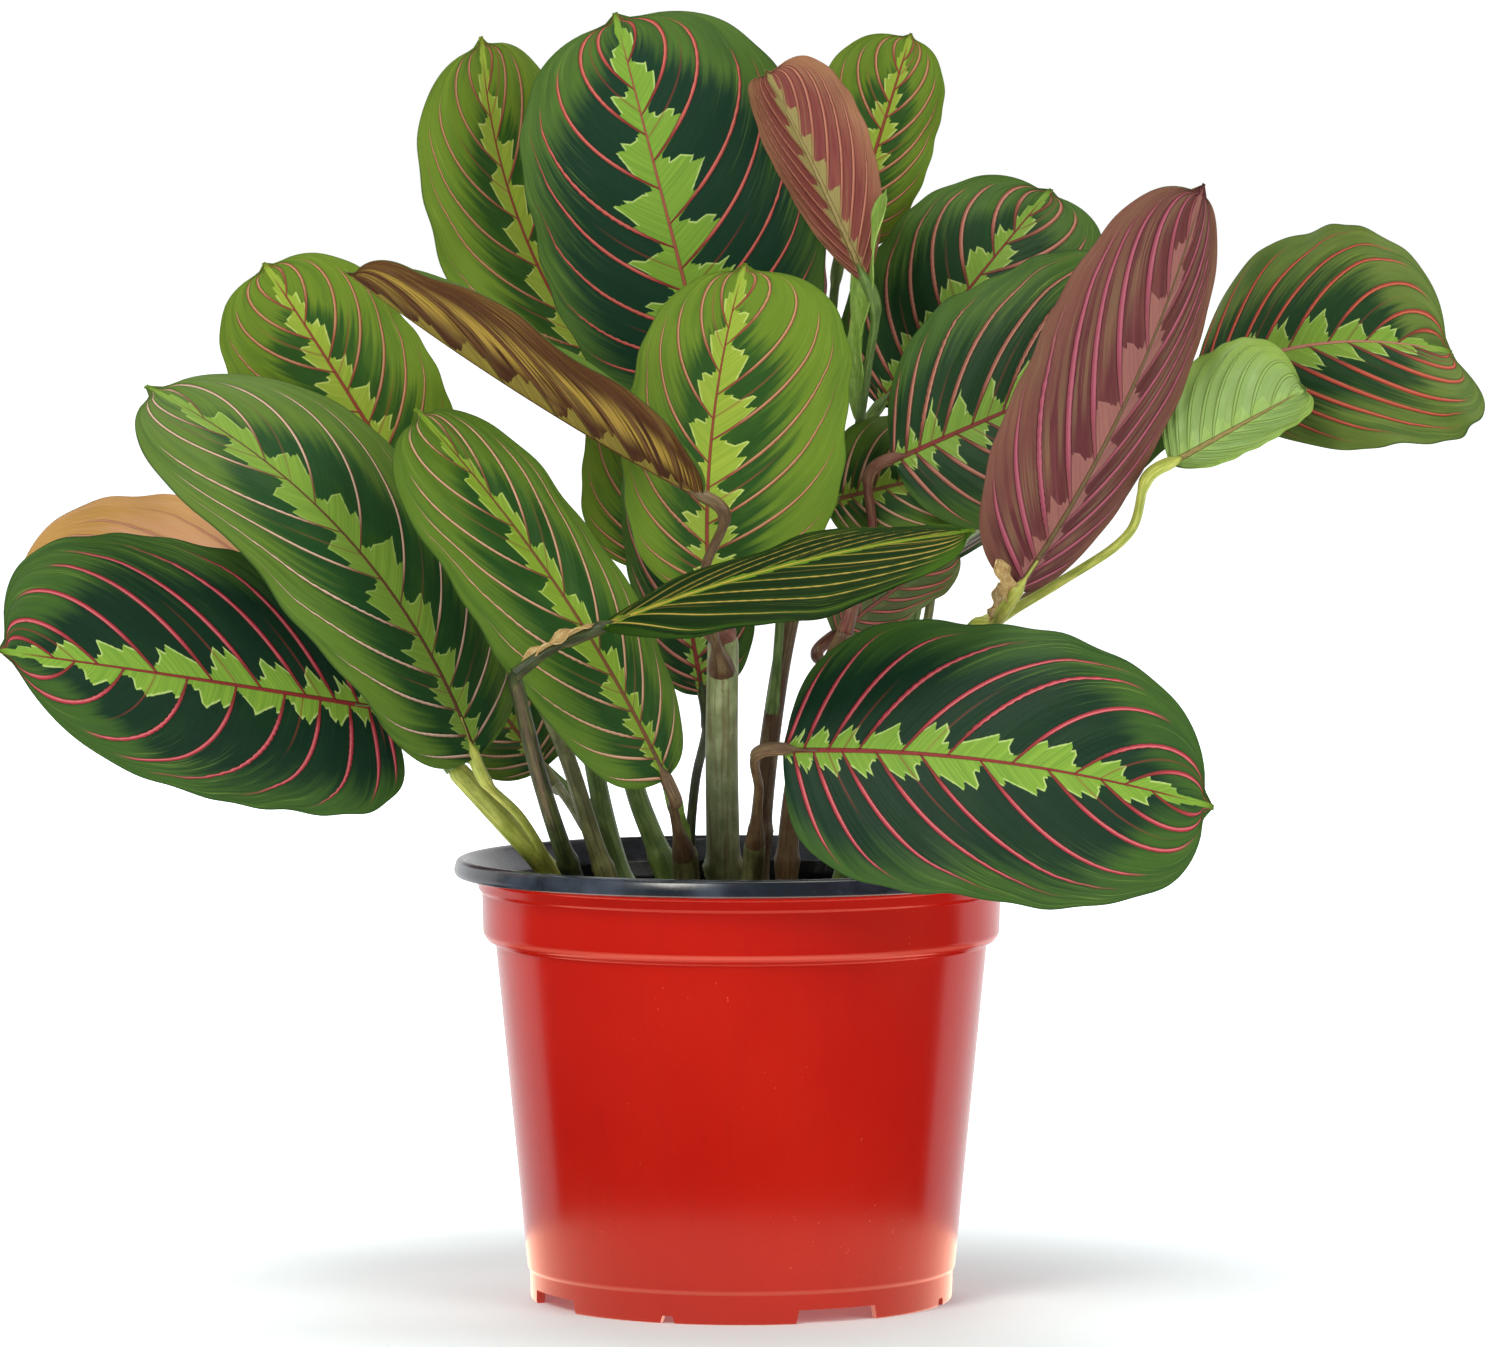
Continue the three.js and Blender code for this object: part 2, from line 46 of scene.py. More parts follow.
# Forms, as in the part's source
LIP_RADIUS = 82.5
POT_HEIGHT = 127
FOOT_RADIUS = 60.5
WALL = 1.2
FLOOR_UNDER = 5.2
FLOOR_TOP = 6.6
SOIL_TOP = 109
TIP_POINT = 0.025
TIP_SLOPE = 4.2
WAVES = 2.5
WAVE_HEIGHT = 1.2
FOLD_ROUNDING = 1
STALK_RADIUS = 1.35
JOINT_RADIUS = 1.9
JOINT_LENGTH = 12
STALK_LEAD = 7  # how far before the blade a stalk turns into the blade's own direction
STALK_END = dict(share=0.08, radius=0.8)
CANE_JOINT = 1 / 3
CLASP_LENGTH = 9
CLASP_SHARE = 0.96  # of the cane's radius, for a stalk where it leaves the cane
DRAIN_START = 27 - 90
DRAIN_SLOT = dict(start=DRAIN_START, width=25, height=4)
DRAIN_NICK = dict(start=-20 - 90, width=4, height=2.2)
DRAIN_HOLE = dict(radius=4.5, at=34)
DRAIN_DEPTH = 12
DRAINS = 4

# Fineness
POT_SEGMENTS = 192
BLADE_GRID = (96, 44)  # rows along the blade, and columns across it
SHEATH_GRID = (24, 10)
STALK_SIDES = 14
STALK_STEPS = 56
CANE_SIDES = 22
CANE_STEPS = 70
CANE_MARKS = 200  # a stalk leaves its cane at one of these
ROUTE_STEPS = 60  # between two points of a route, before it is spaced evenly

# The finished blade
BLADE_THICKNESS = 0.42
RIGHT_SEED = 0.41  # so that a blade's right half has markings of its own
RIPPLE = 0.3  # small uneven waves along the edge of a large blade
RIPPLES = (3.1, 6.7, 5.3)  # how many fit along a blade: two kinds in the outline, one up and down
LARGE_HALF = 36  # half the width of such a blade
QUILTING = 0.35  # how far the blade swells between two veins
# Where the side veins leave the midrib. The right half's lie halfway between the left half's.
VEIN_STARTS = (0.0, 0.045, 0.095, 0.165, 0.265, 0.39, 0.53, 0.675, 0.805, 0.92)
LAST_RIGHT_START = 0.96
HALVINGS = 20  # how often the search for a vein's start is halved
VEIN_REACH = 1.02  # the side veins run along the edge, and would meet it a little outside
# How far forward a vein sweeps, as a share of the blade's length, for where it starts.
SWEEP_AT = (0, 0.05, 0.12, 0.25, 0.5, 0.75, 0.9)
SWEEP = (0.03, 0.06, 0.13, 0.21, 0.24, 0.34, 0.34)
# The light feathered band: its half width as a share of the blade's, along the blade.
BAND_AT = (0, 0.06, 0.2, 0.4, 0.6, 0.8, 0.95, 1)
BAND_WIDTH = (0.2, 0.25, 0.27, 0.26, 0.24, 0.18, 0.1, 0.06)


Cane = namedtuple("Cane", "look radii route")


@dataclass
class Blade:
    """A blade from its base to its tip. A pair is for its left and its right half."""

    base: tuple
    tip: tuple
    facing: tuple  # the way its upper side looks
    halves: tuple  # the width of each half
    fold: tuple = (6, 6)  # the degrees that each half is folded up
    cup: float = -0.08  # the rise of the edge, as a share of the half's width
    slide: tuple = (0, 0)  # how far a half is drawn towards the tip, as a share of the way out
    arch: float = 0.04  # how far the midrib bows up, as a share of its length
    bend: float = 0  # the same to the right
    blunt: tuple = (2.6, 2.6)  # how blunt the blade is at its base and at its tip
    band: float = 1  # the width of the light feather, times the usual one
    sweep: float = 1  # the sweep of the side veins, times the usual one
    quilting: float = QUILTING


@dataclass
class Leaf(Blade):
    """A blade and its stalk. looks names its upper side, its underside, its stalk and its bracts."""

    on: str = ""
    at: float = 1  # how far along the cane the stalk leaves it
    via: tuple = ()  # points on the stalk's way
    looks: tuple = ()
    sheaths: tuple = ()


def sheath(base, tip, facing, half, fold):
    """A small plain bract that clasps a stalk."""
    return Blade(base, tip, facing, (half, half), (fold, fold), quilting=0)


# Each cane's look, its radii in the soil and at its top, and its route. The last three stand behind.
CANES = {
    "stem_left": Cane(
        "yellow", (3.6, 3.0), ((-34, -16, 92), (-54, -25, 124), (-68, -36, 141), (-81, -44, 156)),
    ),
    "stem_left_front": Cane(
        "dark", (3.0, 2.0), ((-34, -30, 92), (-47, -42, 124), (-55, -73, 152), (-62, -108, 186)),
    ),
    "stem_left_inner": Cane(
        "olive", (3.0, 2.0), ((-24, -12, 92), (-39, -14, 124), (-51, -14, 160), (-66, -14, 190)),
    ),
    "stem_centre_left": Cane(
        "green", (3.6, 2.4), ((-12, -4, 92), (-22, -5, 124), (-32, -2, 154), (-30, 6, 196)),
    ),
    "stem_front_centre": Cane("olive", (4.4, 3.6), ((-11, -26, 92), (-15, -36, 118), (-16, -44, 134))),
    "stem_centre": Cane(
        "grey", (5.0, 4.4), ((-4, -14, 92), (-5, -24, 126), (-5.5, -31, 160), (-5, -36, 194)),
    ),
    "stem_centre_right": Cane(
        "brown", (3.4, 2.4), ((6, -2, 92), (5, -6, 126), (11, -6, 180), (19, 2, 216)),
    ),
    "stem_front_right": Cane("olive", (3.6, 3.0), ((3, -24, 92), (3, -36, 120), (4, -46, 136))),
    "stem_right": Cane(
        "brown", (3.4, 2.4), ((15, -16, 92), (13, -20, 126), (19, -24, 168), (30, -27, 194)),
    ),
    "stem_far_right": Cane(
        "green", (3.6, 3.0), ((24, -6, 92), (30, -16, 124), (46, -32, 164), (68, -44, 197)),
    ),
    "stem_back_left": Cane("green", (3.6, 2.6), ((-24, 18, 92), (-37, 30, 125), (-46, 40, 165))),
    "stem_back": Cane("olive", (4.0, 2.8), ((-4, 24, 92), (-5, 36, 130), (-6, 46, 185))),
    "stem_back_right": Cane("brown", (3.6, 2.6), ((22, 16, 92), (34, 28, 125), (44, 40, 168))),
}

# The leaves of the photograph, and from leaf_rear_left_low on those behind
LEAVES = {
    "leaf_left_low": Leaf(
        on="stem_left", at=0.99, looks=("deep", "purple", "green"), base=(-100, -47, 172),
        tip=(-206, -72, 190), facing=(0, -1, 0.2), halves=(33, 38), slide=(-0.7, 0.3), fold=(4, 4),
        arch=0.03,
    ),
    "leaf_left_behind": Leaf(
        on="stem_left", at=0.8, looks=("mid", "tan", "green"), via=((-80, -26, 154),),
        base=(-99, -12, 175), tip=(-209, -20, 199), facing=(0, 1, 0.15), halves=(42, 28),
        slide=(0.2, 0), fold=(8, 8), arch=0.02, blunt=(2.4, 2.2), sweep=1.4,
    ),
    "leaf_left_mid": Leaf(
        on="stem_left", at=0.35, looks=("pleated", "purple", "yellow"), via=((-62, -48, 142),),
        base=(-74, -62, 160), tip=(-165, -68, 263), facing=(0.55, -0.65, 0.5), halves=(36, 39),
        arch=0.11, bend=0.03, slide=(0.12, -0.12), band=1.1,
    ),
    "leaf_left_under": Leaf(
        on="stem_left_inner", at=0.45, looks=("mid", "olive", "olive"), via=((-52, 0, 146),),
        base=(-57, 5, 152), tip=(-90, 22, 192), facing=(0.2, -0.9, 0.4), halves=(20, 20),
    ),
    "leaf_back_left": Leaf(
        on="stem_left_inner", at=0.98, looks=("light", "olive", "green"), via=((-80, -8, 212),),
        base=(-93, -4, 228), tip=(-136, -8, 297), facing=(0.1, -0.95, 0.3), halves=(28, 26),
        slide=(0.1, 0),
    ),
    "leaf_centre_left": Leaf(
        on="stem_front_centre", at=0.9, looks=("mid", "purple", "brown", "bract_green"),
        via=((-19, -58, 146),), base=(-21, -66, 154), tip=(-90, -78, 257), facing=(0.55, -0.72, 0.4),
        halves=(32, 22), arch=0.06, slide=(0.15, 0), band=0.9,
        sheaths=(
            sheath((-15, -42, 131), (-21, -64, 153), (0, 0.7, 0.7), 3, 45),
        ),
    ),
    "leaf_top_left": Leaf(
        on="stem_centre_left", at=0.98, looks=("light", "olive", "green"), via=((-27, 12, 226),),
        base=(-34, 16, 257), tip=(-75, 20, 362), facing=(0.6, -0.75, 0.15), halves=(32, 28), arch=-0.03,
        bend=-0.08,
    ),
    "leaf_low_centre": Leaf(
        on="stem_front_centre", at=0.75, looks=("dark", "purple", "dark"), via=((-13, -22, 150),),
        base=(-11, -4, 174), tip=(-24, 0, 250), facing=(-0.1, -0.95, 0.1), halves=(15, 20),
    ),
    "leaf_brown": Leaf(
        on="stem_centre", at=0.88, looks=("mid", "brown", "brown"), via=((-10, -70, 212),),
        base=(-11, -77, 232), tip=(-110, -67, 295), facing=(0.54, 0.1, 0.84), halves=(24, 24),
        arch=-0.02, fold=(52, 58), blunt=(2.2, 2.4), sweep=1.3,
    ),
    "leaf_top_centre": Leaf(
        on="stem_centre", at=0.85, looks=("wide", "purple", "green"),
        via=((-6, -17, 208), (-8, -11, 243)), base=(-8, 0, 259), tip=(-36, -6, 368),
        facing=(0, -1, 0.1), halves=(38, 44), slide=(0, 0.05), fold=(5, 5), band=1.3,
    ),
    "leaf_centre": Leaf(
        on="stem_centre", at=0.98, looks=("light", "olive", "red"), base=(-9, -43, 203),
        tip=(1, -44, 297), facing=(0.15, -1, 0.15), halves=(27, 38), slide=(0, 0.12), fold=(20, 6),
        bend=-0.05, band=1.15,
    ),
    "leaf_young_red": Leaf(
        on="stem_centre_right", at=0.98, looks=("light", "maroon", "green", "bract_green"),
        via=((31, -4, 240), (36, -14, 268)), base=(35, -20, 292), tip=(7, -34, 351),
        facing=(0.2, 0.95, 0.1), halves=(18, 15), fold=(15, 35), cup=0.1, slide=(0.35, 0.2),
        blunt=(1.7, 2.8), sweep=1.7, band=1.2,
        sheaths=(
            sheath((33, -6, 252), (41, -24, 318), (-0.8, -0.6, 0), 5, 35),
        ),
    ),
    "leaf_back_top_right": Leaf(
        on="stem_centre_right", at=0.92, looks=("light", "olive", "green"), via=((24, 22, 250),),
        base=(30, 28, 302), tip=(49, 24, 363), facing=(0.1, -1, 0.1), halves=(22, 16),
    ),
    "leaf_right_back": Leaf(
        on="stem_centre_right", at=0.75, looks=("dark", "purple", "green"), via=((26, 14, 230),),
        base=(40, 14, 256), tip=(89, 12, 318), facing=(-0.1, -0.95, 0.3), halves=(29, 30),
        slide=(0, 0.45), blunt=(2.6, 2.2),
    ),
    "leaf_right_inner": Leaf(
        on="stem_centre_right", at=0.6, looks=("mid", "purple", "green"), via=((13, -12, 212),),
        base=(24, -17, 229), tip=(76, -14, 240), facing=(0, -0.9, 0.4), halves=(22, 18),
    ),
    "leaf_right_mid": Leaf(
        on="stem_right", at=0.98, looks=("dark", "purple", "red"), via=((37, -25, 220),),
        base=(43, -24, 241), tip=(125, -26, 275), facing=(-0.1, -0.95, 0.25), halves=(38, 33),
        slide=(0.2, 0), band=1.2, sweep=1.2,
    ),
    "leaf_low_behind": Leaf(
        on="stem_right", at=0.75, looks=("mid", "olive", "red"), via=((24, -6, 180),),
        base=(27, 5, 190), tip=(63, 12, 215), facing=(0, 0.8, 0.6), halves=(12, 20),
    ),
    "leaf_purple": Leaf(
        on="stem_far_right", at=0.98, looks=("dark", "mauve", "yellow", "bract_dry"),
        via=((71, -50, 196),), base=(77, -60, 206), tip=(128, -72, 319), facing=(0.1, 1, 0.1),
        halves=(22, 30), bend=-0.045, fold=(54, 10), arch=0.02, slide=(0, 0.12), blunt=(2.4, 2.1),
        sweep=1.6, quilting=0.7,
        sheaths=(
            sheath((75, -60, 202), (71, -65, 215), (0.6, -0.8, 0), 3, 30),
            sheath((69.5, -47, 196), (72, -54, 208), (0.7, -0.7, 0), 3.4, 30),
        ),
    ),
    "leaf_right_far": Leaf(
        on="stem_far_right", at=0.93, looks=("brick", "purple", "brown"),
        via=((96, -26, 216), (118, -6, 246)), base=(130, 8, 262), tip=(199, -46, 272),
        facing=(0, -0.95, 0.35), halves=(36, 34.5), slide=(0, 1.22), bend=-0.07, blunt=(2.4, 2),
    ),
    "leaf_pale_young": Leaf(
        on="stem_far_right", at=0.97, looks=("light", "pale", "yellow"),
        via=((90, -44, 208), (109, -47, 222)), base=(120, -50, 241), tip=(158, -50, 262),
        facing=(0.2, 0.9, 0.1), halves=(8, 22), cup=0.25, slide=(0.7, 0.2), quilting=0.8,
    ),
    "leaf_front_narrow": Leaf(
        on="stem_left_front", at=0.99, looks=("fresh", "olive", "dark", "bract_dry"),
        via=((-52, -106, 192),), base=(-38, -104, 198), tip=(64, -100, 224), facing=(-0.15, -0.4, 0.9),
        halves=(23, 25), fold=(-6, -6), blunt=(1.5, 2), sweep=2.6, band=0.3, quilting=0.6,
        sheaths=(
            sheath((-61, -106, 187), (-40, -105, 199), (-0.1, -0.3, 0.9), 2.6, 40),
        ),
    ),
    "leaf_front_right": Leaf(
        on="stem_front_right", at=0.95, looks=("deep", "purple", "brown"), via=((5, -64, 150),),
        base=(12, -86, 163), tip=(129, -108, 149), facing=(0.05, -0.95, 0.3), halves=(39, 39),
        slide=(0, 0.18), bend=-0.03, fold=(4, 4), blunt=(3.4, 2.3), band=0.9,
    ),
    "leaf_rear_left_low": Leaf(
        on="stem_back_left", at=0.6, looks=("dark", "purple", "green"), via=((-60, 44, 152),),
        base=(-74, 52, 164), tip=(-158, 84, 172), facing=(-0.2, 0.6, 0.8), halves=(33, 33), arch=0.08,
    ),
    "leaf_rear_left": Leaf(
        on="stem_back_left", at=0.98, looks=("deep", "purple", "olive"), via=((-56, 50, 186),),
        base=(-64, 62, 206), tip=(-112, 110, 236), facing=(-0.3, 0.6, 0.7), halves=(34, 34), arch=0.08,
    ),
    "leaf_rear_left_high": Leaf(
        on="stem_back_left", at=0.9, looks=("light", "olive", "green"), via=((-40, 42, 188),),
        base=(-30, 42, 208), tip=(-16, 46, 282), facing=(0, -0.9, 0.3), halves=(22, 24),
    ),
    "leaf_rear_high": Leaf(
        on="stem_back", at=0.95, looks=("wide", "purple", "green"), via=((-8, 50, 225),),
        base=(-10, 54, 250), tip=(-14, 84, 338), facing=(0, 0.9, 0.4), halves=(37, 37), arch=0.06,
    ),
    "leaf_rear": Leaf(
        on="stem_back", at=0.8, looks=("dark", "purple", "brown"), via=((0, 62, 190),),
        base=(2, 74, 208), tip=(14, 128, 194), facing=(0, 0.8, 0.6), halves=(37, 37), arch=0.12,
    ),
    "leaf_rear_young": Leaf(
        on="stem_back", at=0.88, looks=("fresh", "olive", "green"), via=((-16, 58, 196),),
        base=(-18, 68, 226), tip=(-46, 104, 276), facing=(-0.2, 0.8, 0.5), halves=(18, 18),
        fold=(28, 28),
    ),
    "leaf_rear_right_low": Leaf(
        on="stem_back_right", at=0.6, looks=("dark", "purple", "green"), via=((58, 44, 152),),
        base=(70, 52, 164), tip=(112, 96, 142), facing=(0.2, 0.6, 0.8), halves=(34, 34), arch=0.1,
    ),
    "leaf_rear_right": Leaf(
        on="stem_back_right", at=0.98, looks=("dark", "purple", "olive"), via=((54, 52, 190),),
        base=(60, 60, 208), tip=(106, 112, 226), facing=(0.3, 0.6, 0.7), halves=(35, 35), arch=0.1,
    ),
    "leaf_rear_right_high": Leaf(
        on="stem_back_right", at=0.82, looks=("mid", "mauve", "green"), via=((52, 40, 200),),
        base=(58, 40, 232), tip=(98, 62, 302), facing=(0.35, 0.8, 0.4), halves=(29, 29), arch=0.06,
    ),
}



def new_object(name, points, faces, materials=()):
    """An object in the scene, from points in metres."""
    mesh = bpy.data.meshes.new(name)
    mesh.from_pydata(points, [], faces)
    for material in materials:
        mesh.materials.append(material)
    made = bpy.data.objects.new(name, mesh)
    bpy.context.scene.collection.objects.link(made)
    return made


def metres(points):
    return [(x * MM, y * MM, z * MM) for x, y, z in points]


def stands_for(piece, node):
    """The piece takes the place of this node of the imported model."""
    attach(piece, "root")
    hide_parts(node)


class Shape:
    """Grids and tubes in millimetres, with what the materials read, gathered into one mesh."""

    def __init__(self):
        self.points = []
        self.faces = []
        self.slots = []
        self.notes = []
        self.sharp = []
        self.count = 0

    def add(self, points, faces, slots, notes):
        """slots has one number for each face, and notes nine for each corner of each face."""
        self.points.append(np.asarray(points, float))
        self.faces += [tuple(self.count + k for k in face) for face in faces]
        self.slots += slots
        self.notes.append(notes)
        self.count += len(points)

    def object(self, name, materials):
        piece = new_object(name, (np.vstack(self.points) * MM).tolist(), self.faces, materials)
        mesh = piece.data
        mesh.polygons.foreach_set("material_index", self.slots)
        mesh.shade_smooth()
        notes = np.vstack(self.notes)
        for k, title in enumerate(("fan", "span", "spot")):
            layer = mesh.attributes.new(title, "FLOAT_VECTOR", "CORNER")
            layer.data.foreach_set("vector", notes[:, 3 * k : 3 * k + 3].astype(np.float32).ravel())
        mesh.update()
        sharp = {tuple(sorted(pair)) for pair in self.sharp}
        for edge in mesh.edges:
            if tuple(sorted(edge.vertices)) in sharp:
                edge.use_edge_sharp = True
        return piece


def unit(vector):
    return vector / np.linalg.norm(vector)


def smooth_route(points, count):
    """Evenly spaced points of the centripetal Catmull-Rom curve through these points."""
    p = np.array(points, float)
    p = np.vstack([2 * p[0] - p[1], p, 2 * p[-1] - p[-2]])
    w = np.linspace(0, 1, ROUTE_STEPS, endpoint=False)[:, None]
    dense = []
    for a, b, c, d in zip(p, p[1:], p[2:], p[3:]):
        before, here, after = (math.sqrt(np.linalg.norm(e)) for e in (b - a, c - b, d - c))
        start = here * ((b - a) / before - (c - a) / (before + here) + (c - b) / here)
        end = here * ((c - b) / here - (d - b) / (here + after) + (d - c) / after)
        dense.append(
            (2 * w**3 - 3 * w**2 + 1) * b
            + (w**3 - 2 * w**2 + w) * start
            + (3 * w**2 - 2 * w**3) * c
            + (w**3 - w**2) * end
        )
    dense = np.vstack(dense + [p[-2:-1]])
    run = np.concatenate([[0], np.cumsum(np.linalg.norm(np.diff(dense, axis=0), axis=1))])
    at = np.linspace(0, run[-1], count)
    return np.stack([np.interp(at, run, dense[:, k]) for k in range(3)], axis=1), run[-1]


def outline(s, blunt):
    """Half the blade's width as a share of its widest, at s from the base (0) to the tip (1)."""
    power = np.where(s < 0.5, blunt[0], blunt[1])
    along = np.minimum(1, s / (1 - TIP_POINT))
    oval = np.clip(1 - np.abs(2 * along - 1) ** power, 0, 1) ** (1 / power)
    point = np.where(s > 0.9, TIP_SLOPE * (1 - s), 0)
    return np.maximum(np.maximum(oval, point), 0.02)


def blade_axes(leaf):
    base = np.array(leaf.base, float)
    chord = np.array(leaf.tip) - base
    length = np.linalg.norm(chord)
    along = chord / length
    facing = np.array(leaf.facing, float)
    normal = unit(facing - along * facing.dot(along))
    return base, along, np.cross(along, normal), normal, length


def midrib(leaf, s):
    base, along, right, normal, length = blade_axes(leaf)
    s = np.asarray(s)[..., None]
    rise = 4 * s * (1 - s) * length
    return base + along * length * s + (normal * leaf.arch + right * leaf.bend) * rise


def blade_surface(leaf, s, t, phases):
    """The blade's middle surface at s along the midrib and t across it, from -1 to 1."""
    _, along, right, normal, _ = blade_axes(leaf)
    side = np.sign(t)
    left = t < 0

    def pick(pair):
        return np.where(left, pair[0], pair[1])

    width = outline(s, leaf.blunt)
    long, short, steep = RIPPLES
    uneven = np.sin(2 * np.pi * (long * s + phases[0] * side)) + np.sin(2 * np.pi * (short * s + phases[1]))
    ripple = RIPPLE * max(leaf.halves) / LARGE_HALF
    half = pick(leaf.halves) * width + ripple * uneven * width * np.abs(t) ** 4
    reach = np.abs(t) * half
    fold = np.radians(pick(leaf.fold))
    softened = np.hypot(reach, FOLD_ROUNDING) - FOLD_ROUNDING
    waves = np.sin(2 * np.pi * (WAVES * s + 0.3 * side)) * width
    ripples = np.sin(2 * np.pi * (steep * s + phases[2] * side)) * width * ripple
    height = softened * np.sin(fold) + leaf.cup * half * t * t
    height = height + (WAVE_HEIGHT * waves + ripples) * np.abs(t) ** 3
    slide = pick(leaf.slide) * reach
    return (
        midrib(leaf, s)
        + along * slide[..., None]
        + right * (side * reach * np.cos(fold))[..., None]
        + normal * height[..., None]
    ), half


def vein_number(x, starts):
    """Turns a share of the midrib into a count of the side veins that leave it up to there."""
    index = np.arange(len(starts), dtype=float)
    low = (x - starts[0]) / (starts[1] - starts[0])
    high = index[-1] + (x - starts[-1]) / (starts[-1] - starts[-2])
    inside = np.interp(x, starts, index)
    return np.where(x < starts[0], low, np.where(x > starts[-1], high, inside))


def vein_at(s, reach, starts, sweep):
    """The number of the side vein through a point, found by halving the stretch that it starts in."""
    spread = -np.log(1 - np.clip(reach, 0, 1) / VEIN_REACH)
    low, high = np.full_like(s, -0.3), s
    for _ in range(HALVINGS):
        middle = (low + high) / 2
        beyond = middle + sweep * np.interp(middle, SWEEP_AT, SWEEP) * spread > s
        low, high = np.where(beyond, low, middle), np.where(beyond, middle, high)
    return vein_number(high, starts)


def blade_notes(leaf, s, t, phases, starts, seed):
    """What the blade's material reads at a point of a half whose veins have these starts."""
    step = 0.004
    reach = np.abs(t)
    sweep = leaf.sweep
    q = vein_number(s, starts)
    v = vein_at(s, reach, starts, sweep)
    length = blade_axes(leaf)[4]
    spacing = 2 * step * length / (vein_number(s + step, starts) - vein_number(s - step, starts))

    def slope(ahead, behind):
        return (ahead - behind) / (2 * step)

    # The distance between two veins, measured on the surface square to them
    down = slope(blade_surface(leaf, s + step, t, phases)[0], blade_surface(leaf, s - step, t, phases)[0])
    across = slope(blade_surface(leaf, s, t + step, phases)[0], blade_surface(leaf, s, t - step, phases)[0])
    v_down = slope(vein_at(s + step, reach, starts, sweep), vein_at(s - step, reach, starts, sweep))
    inner = np.maximum(reach, step)
    v_across = np.sign(t) * slope(
        vein_at(s, inner + step, starts, sweep), vein_at(s, inner - step, starts, sweep)
    )
    dd, da, aa = ((a * b).sum(axis=-1) for a, b in ((down, down), (down, across), (across, across)))
    area = np.maximum(dd * aa - da * da, 1e-6)
    steepness = (aa * v_down**2 - 2 * da * v_down * v_across + dd * v_across**2) / area
    half = blade_surface(leaf, s, t, phases)[1]
    band = np.interp(s, BAND_AT, BAND_WIDTH) * leaf.band
    vein_mm = 1 / np.sqrt(np.maximum(steepness, 1e-6))
    return np.stack([q, v, reach, spacing, vein_mm, half, s, band, np.full_like(s, seed)], axis=-1)


def add_blade(shape, leaf, grid, seed, slots):
    rows, columns = grid
    rng = np.random.default_rng(seed)
    phases = rng.random(3)
    s = (0.5 - 0.5 * np.cos(np.pi * np.arange(rows + 1) / rows))[:, None] + np.zeros(columns + 1)
    t = np.linspace(-1, 1, columns + 1)[None, :] + np.zeros((rows + 1, 1))
    surface = blade_surface(leaf, s, t, phases)[0]
    jitter = rng.uniform(-0.1, 0.1, (2, len(VEIN_STARTS)))
    numbers = np.arange(len(VEIN_STARTS))
    starts = [
        np.interp(numbers + move + shift, numbers, VEIN_STARTS) for move, shift in zip((0, 0.5), jitter)
    ]
    starts[1][-1] = LAST_RIGHT_START
    notes = [
        blade_notes(leaf, s, t, phases, one, seed + extra)
        for one, extra in zip(starts, (0, RIGHT_SEED))
    ]
    swell = []
    for one in notes:
        vein, reach = one[..., 1], one[..., 2]
        swell.append(np.sin(np.pi * vein) ** 2 * np.clip(5 * reach * (1 - reach), 0, 1))
    relief = leaf.quilting * np.where(t < 0, swell[0], swell[1])
    down = np.gradient(surface, axis=0)
    across = np.gradient(surface, axis=1)
    normals = np.cross(across, down)
    normals /= np.linalg.norm(normals, axis=-1, keepdims=True)
    middle = surface + normals * relief[..., None]
    layers = [middle + normals * BLADE_THICKNESS * share for share in (0.5, -0.5)]
    points = np.concatenate([layer.reshape(-1, 3) for layer in layers])
    stride = columns + 1
    face = stride * (rows + 1)
    i, j = np.meshgrid(np.arange(rows), np.arange(columns), indexing="ij")
    a = (i * stride + j).ravel()
    upper = np.stack([a, a + 1, a + stride + 1, a + stride], axis=1)
    flat = [one.reshape(-1, 9) for one in notes]
    is_left = (j.ravel() < columns / 2)[:, None, None]
    reads = np.where(is_left, flat[0][upper], flat[1][upper])
    under = (upper + face)[:, ::-1]
    edge = [*range(columns), *(k * stride + columns for k in range(rows))]
    edge += [rows * stride + k for k in range(columns, 0, -1)]
    edge += [k * stride for k in range(rows, 0, -1)]
    after = edge[1:] + edge[:1]
    rim = [(p, p + face, n + face, n) for p, n in zip(edge, after)]
    sides = [0 if p % stride < columns / 2 else 1 for p in edge]
    rim_reads = [flat[side][k % face] for side, quad in zip(sides, rim) for k in quad]
    start = shape.count
    for p, n in zip(edge, after):
        shape.sharp += [(start + p, start + n), (start + p + face, start + n + face)]
    shape.add(
        points,
        upper.tolist() + under.tolist() + rim,
        [slots[0]] * len(upper) + [slots[1]] * len(under) + [slots[0]] * len(rim),
        np.vstack([reads.reshape(-1, 9), reads[:, ::-1].reshape(-1, 9), rim_reads]),
    )


def ring_faces(rings, sides):
    """The faces of a closed body made of rings: the bands between them, and a cap at each end."""
    faces = []
    for start in range(0, (rings - 1) * sides, sides):
        for k in range(sides):
            a = start + k
            b = start + (k + 1) % sides
            faces.append((a, b, b + sides, a + sides))
    last = (rings - 1) * sides
    return [*faces, tuple(reversed(range(sides))), tuple(range(last, last + sides))]


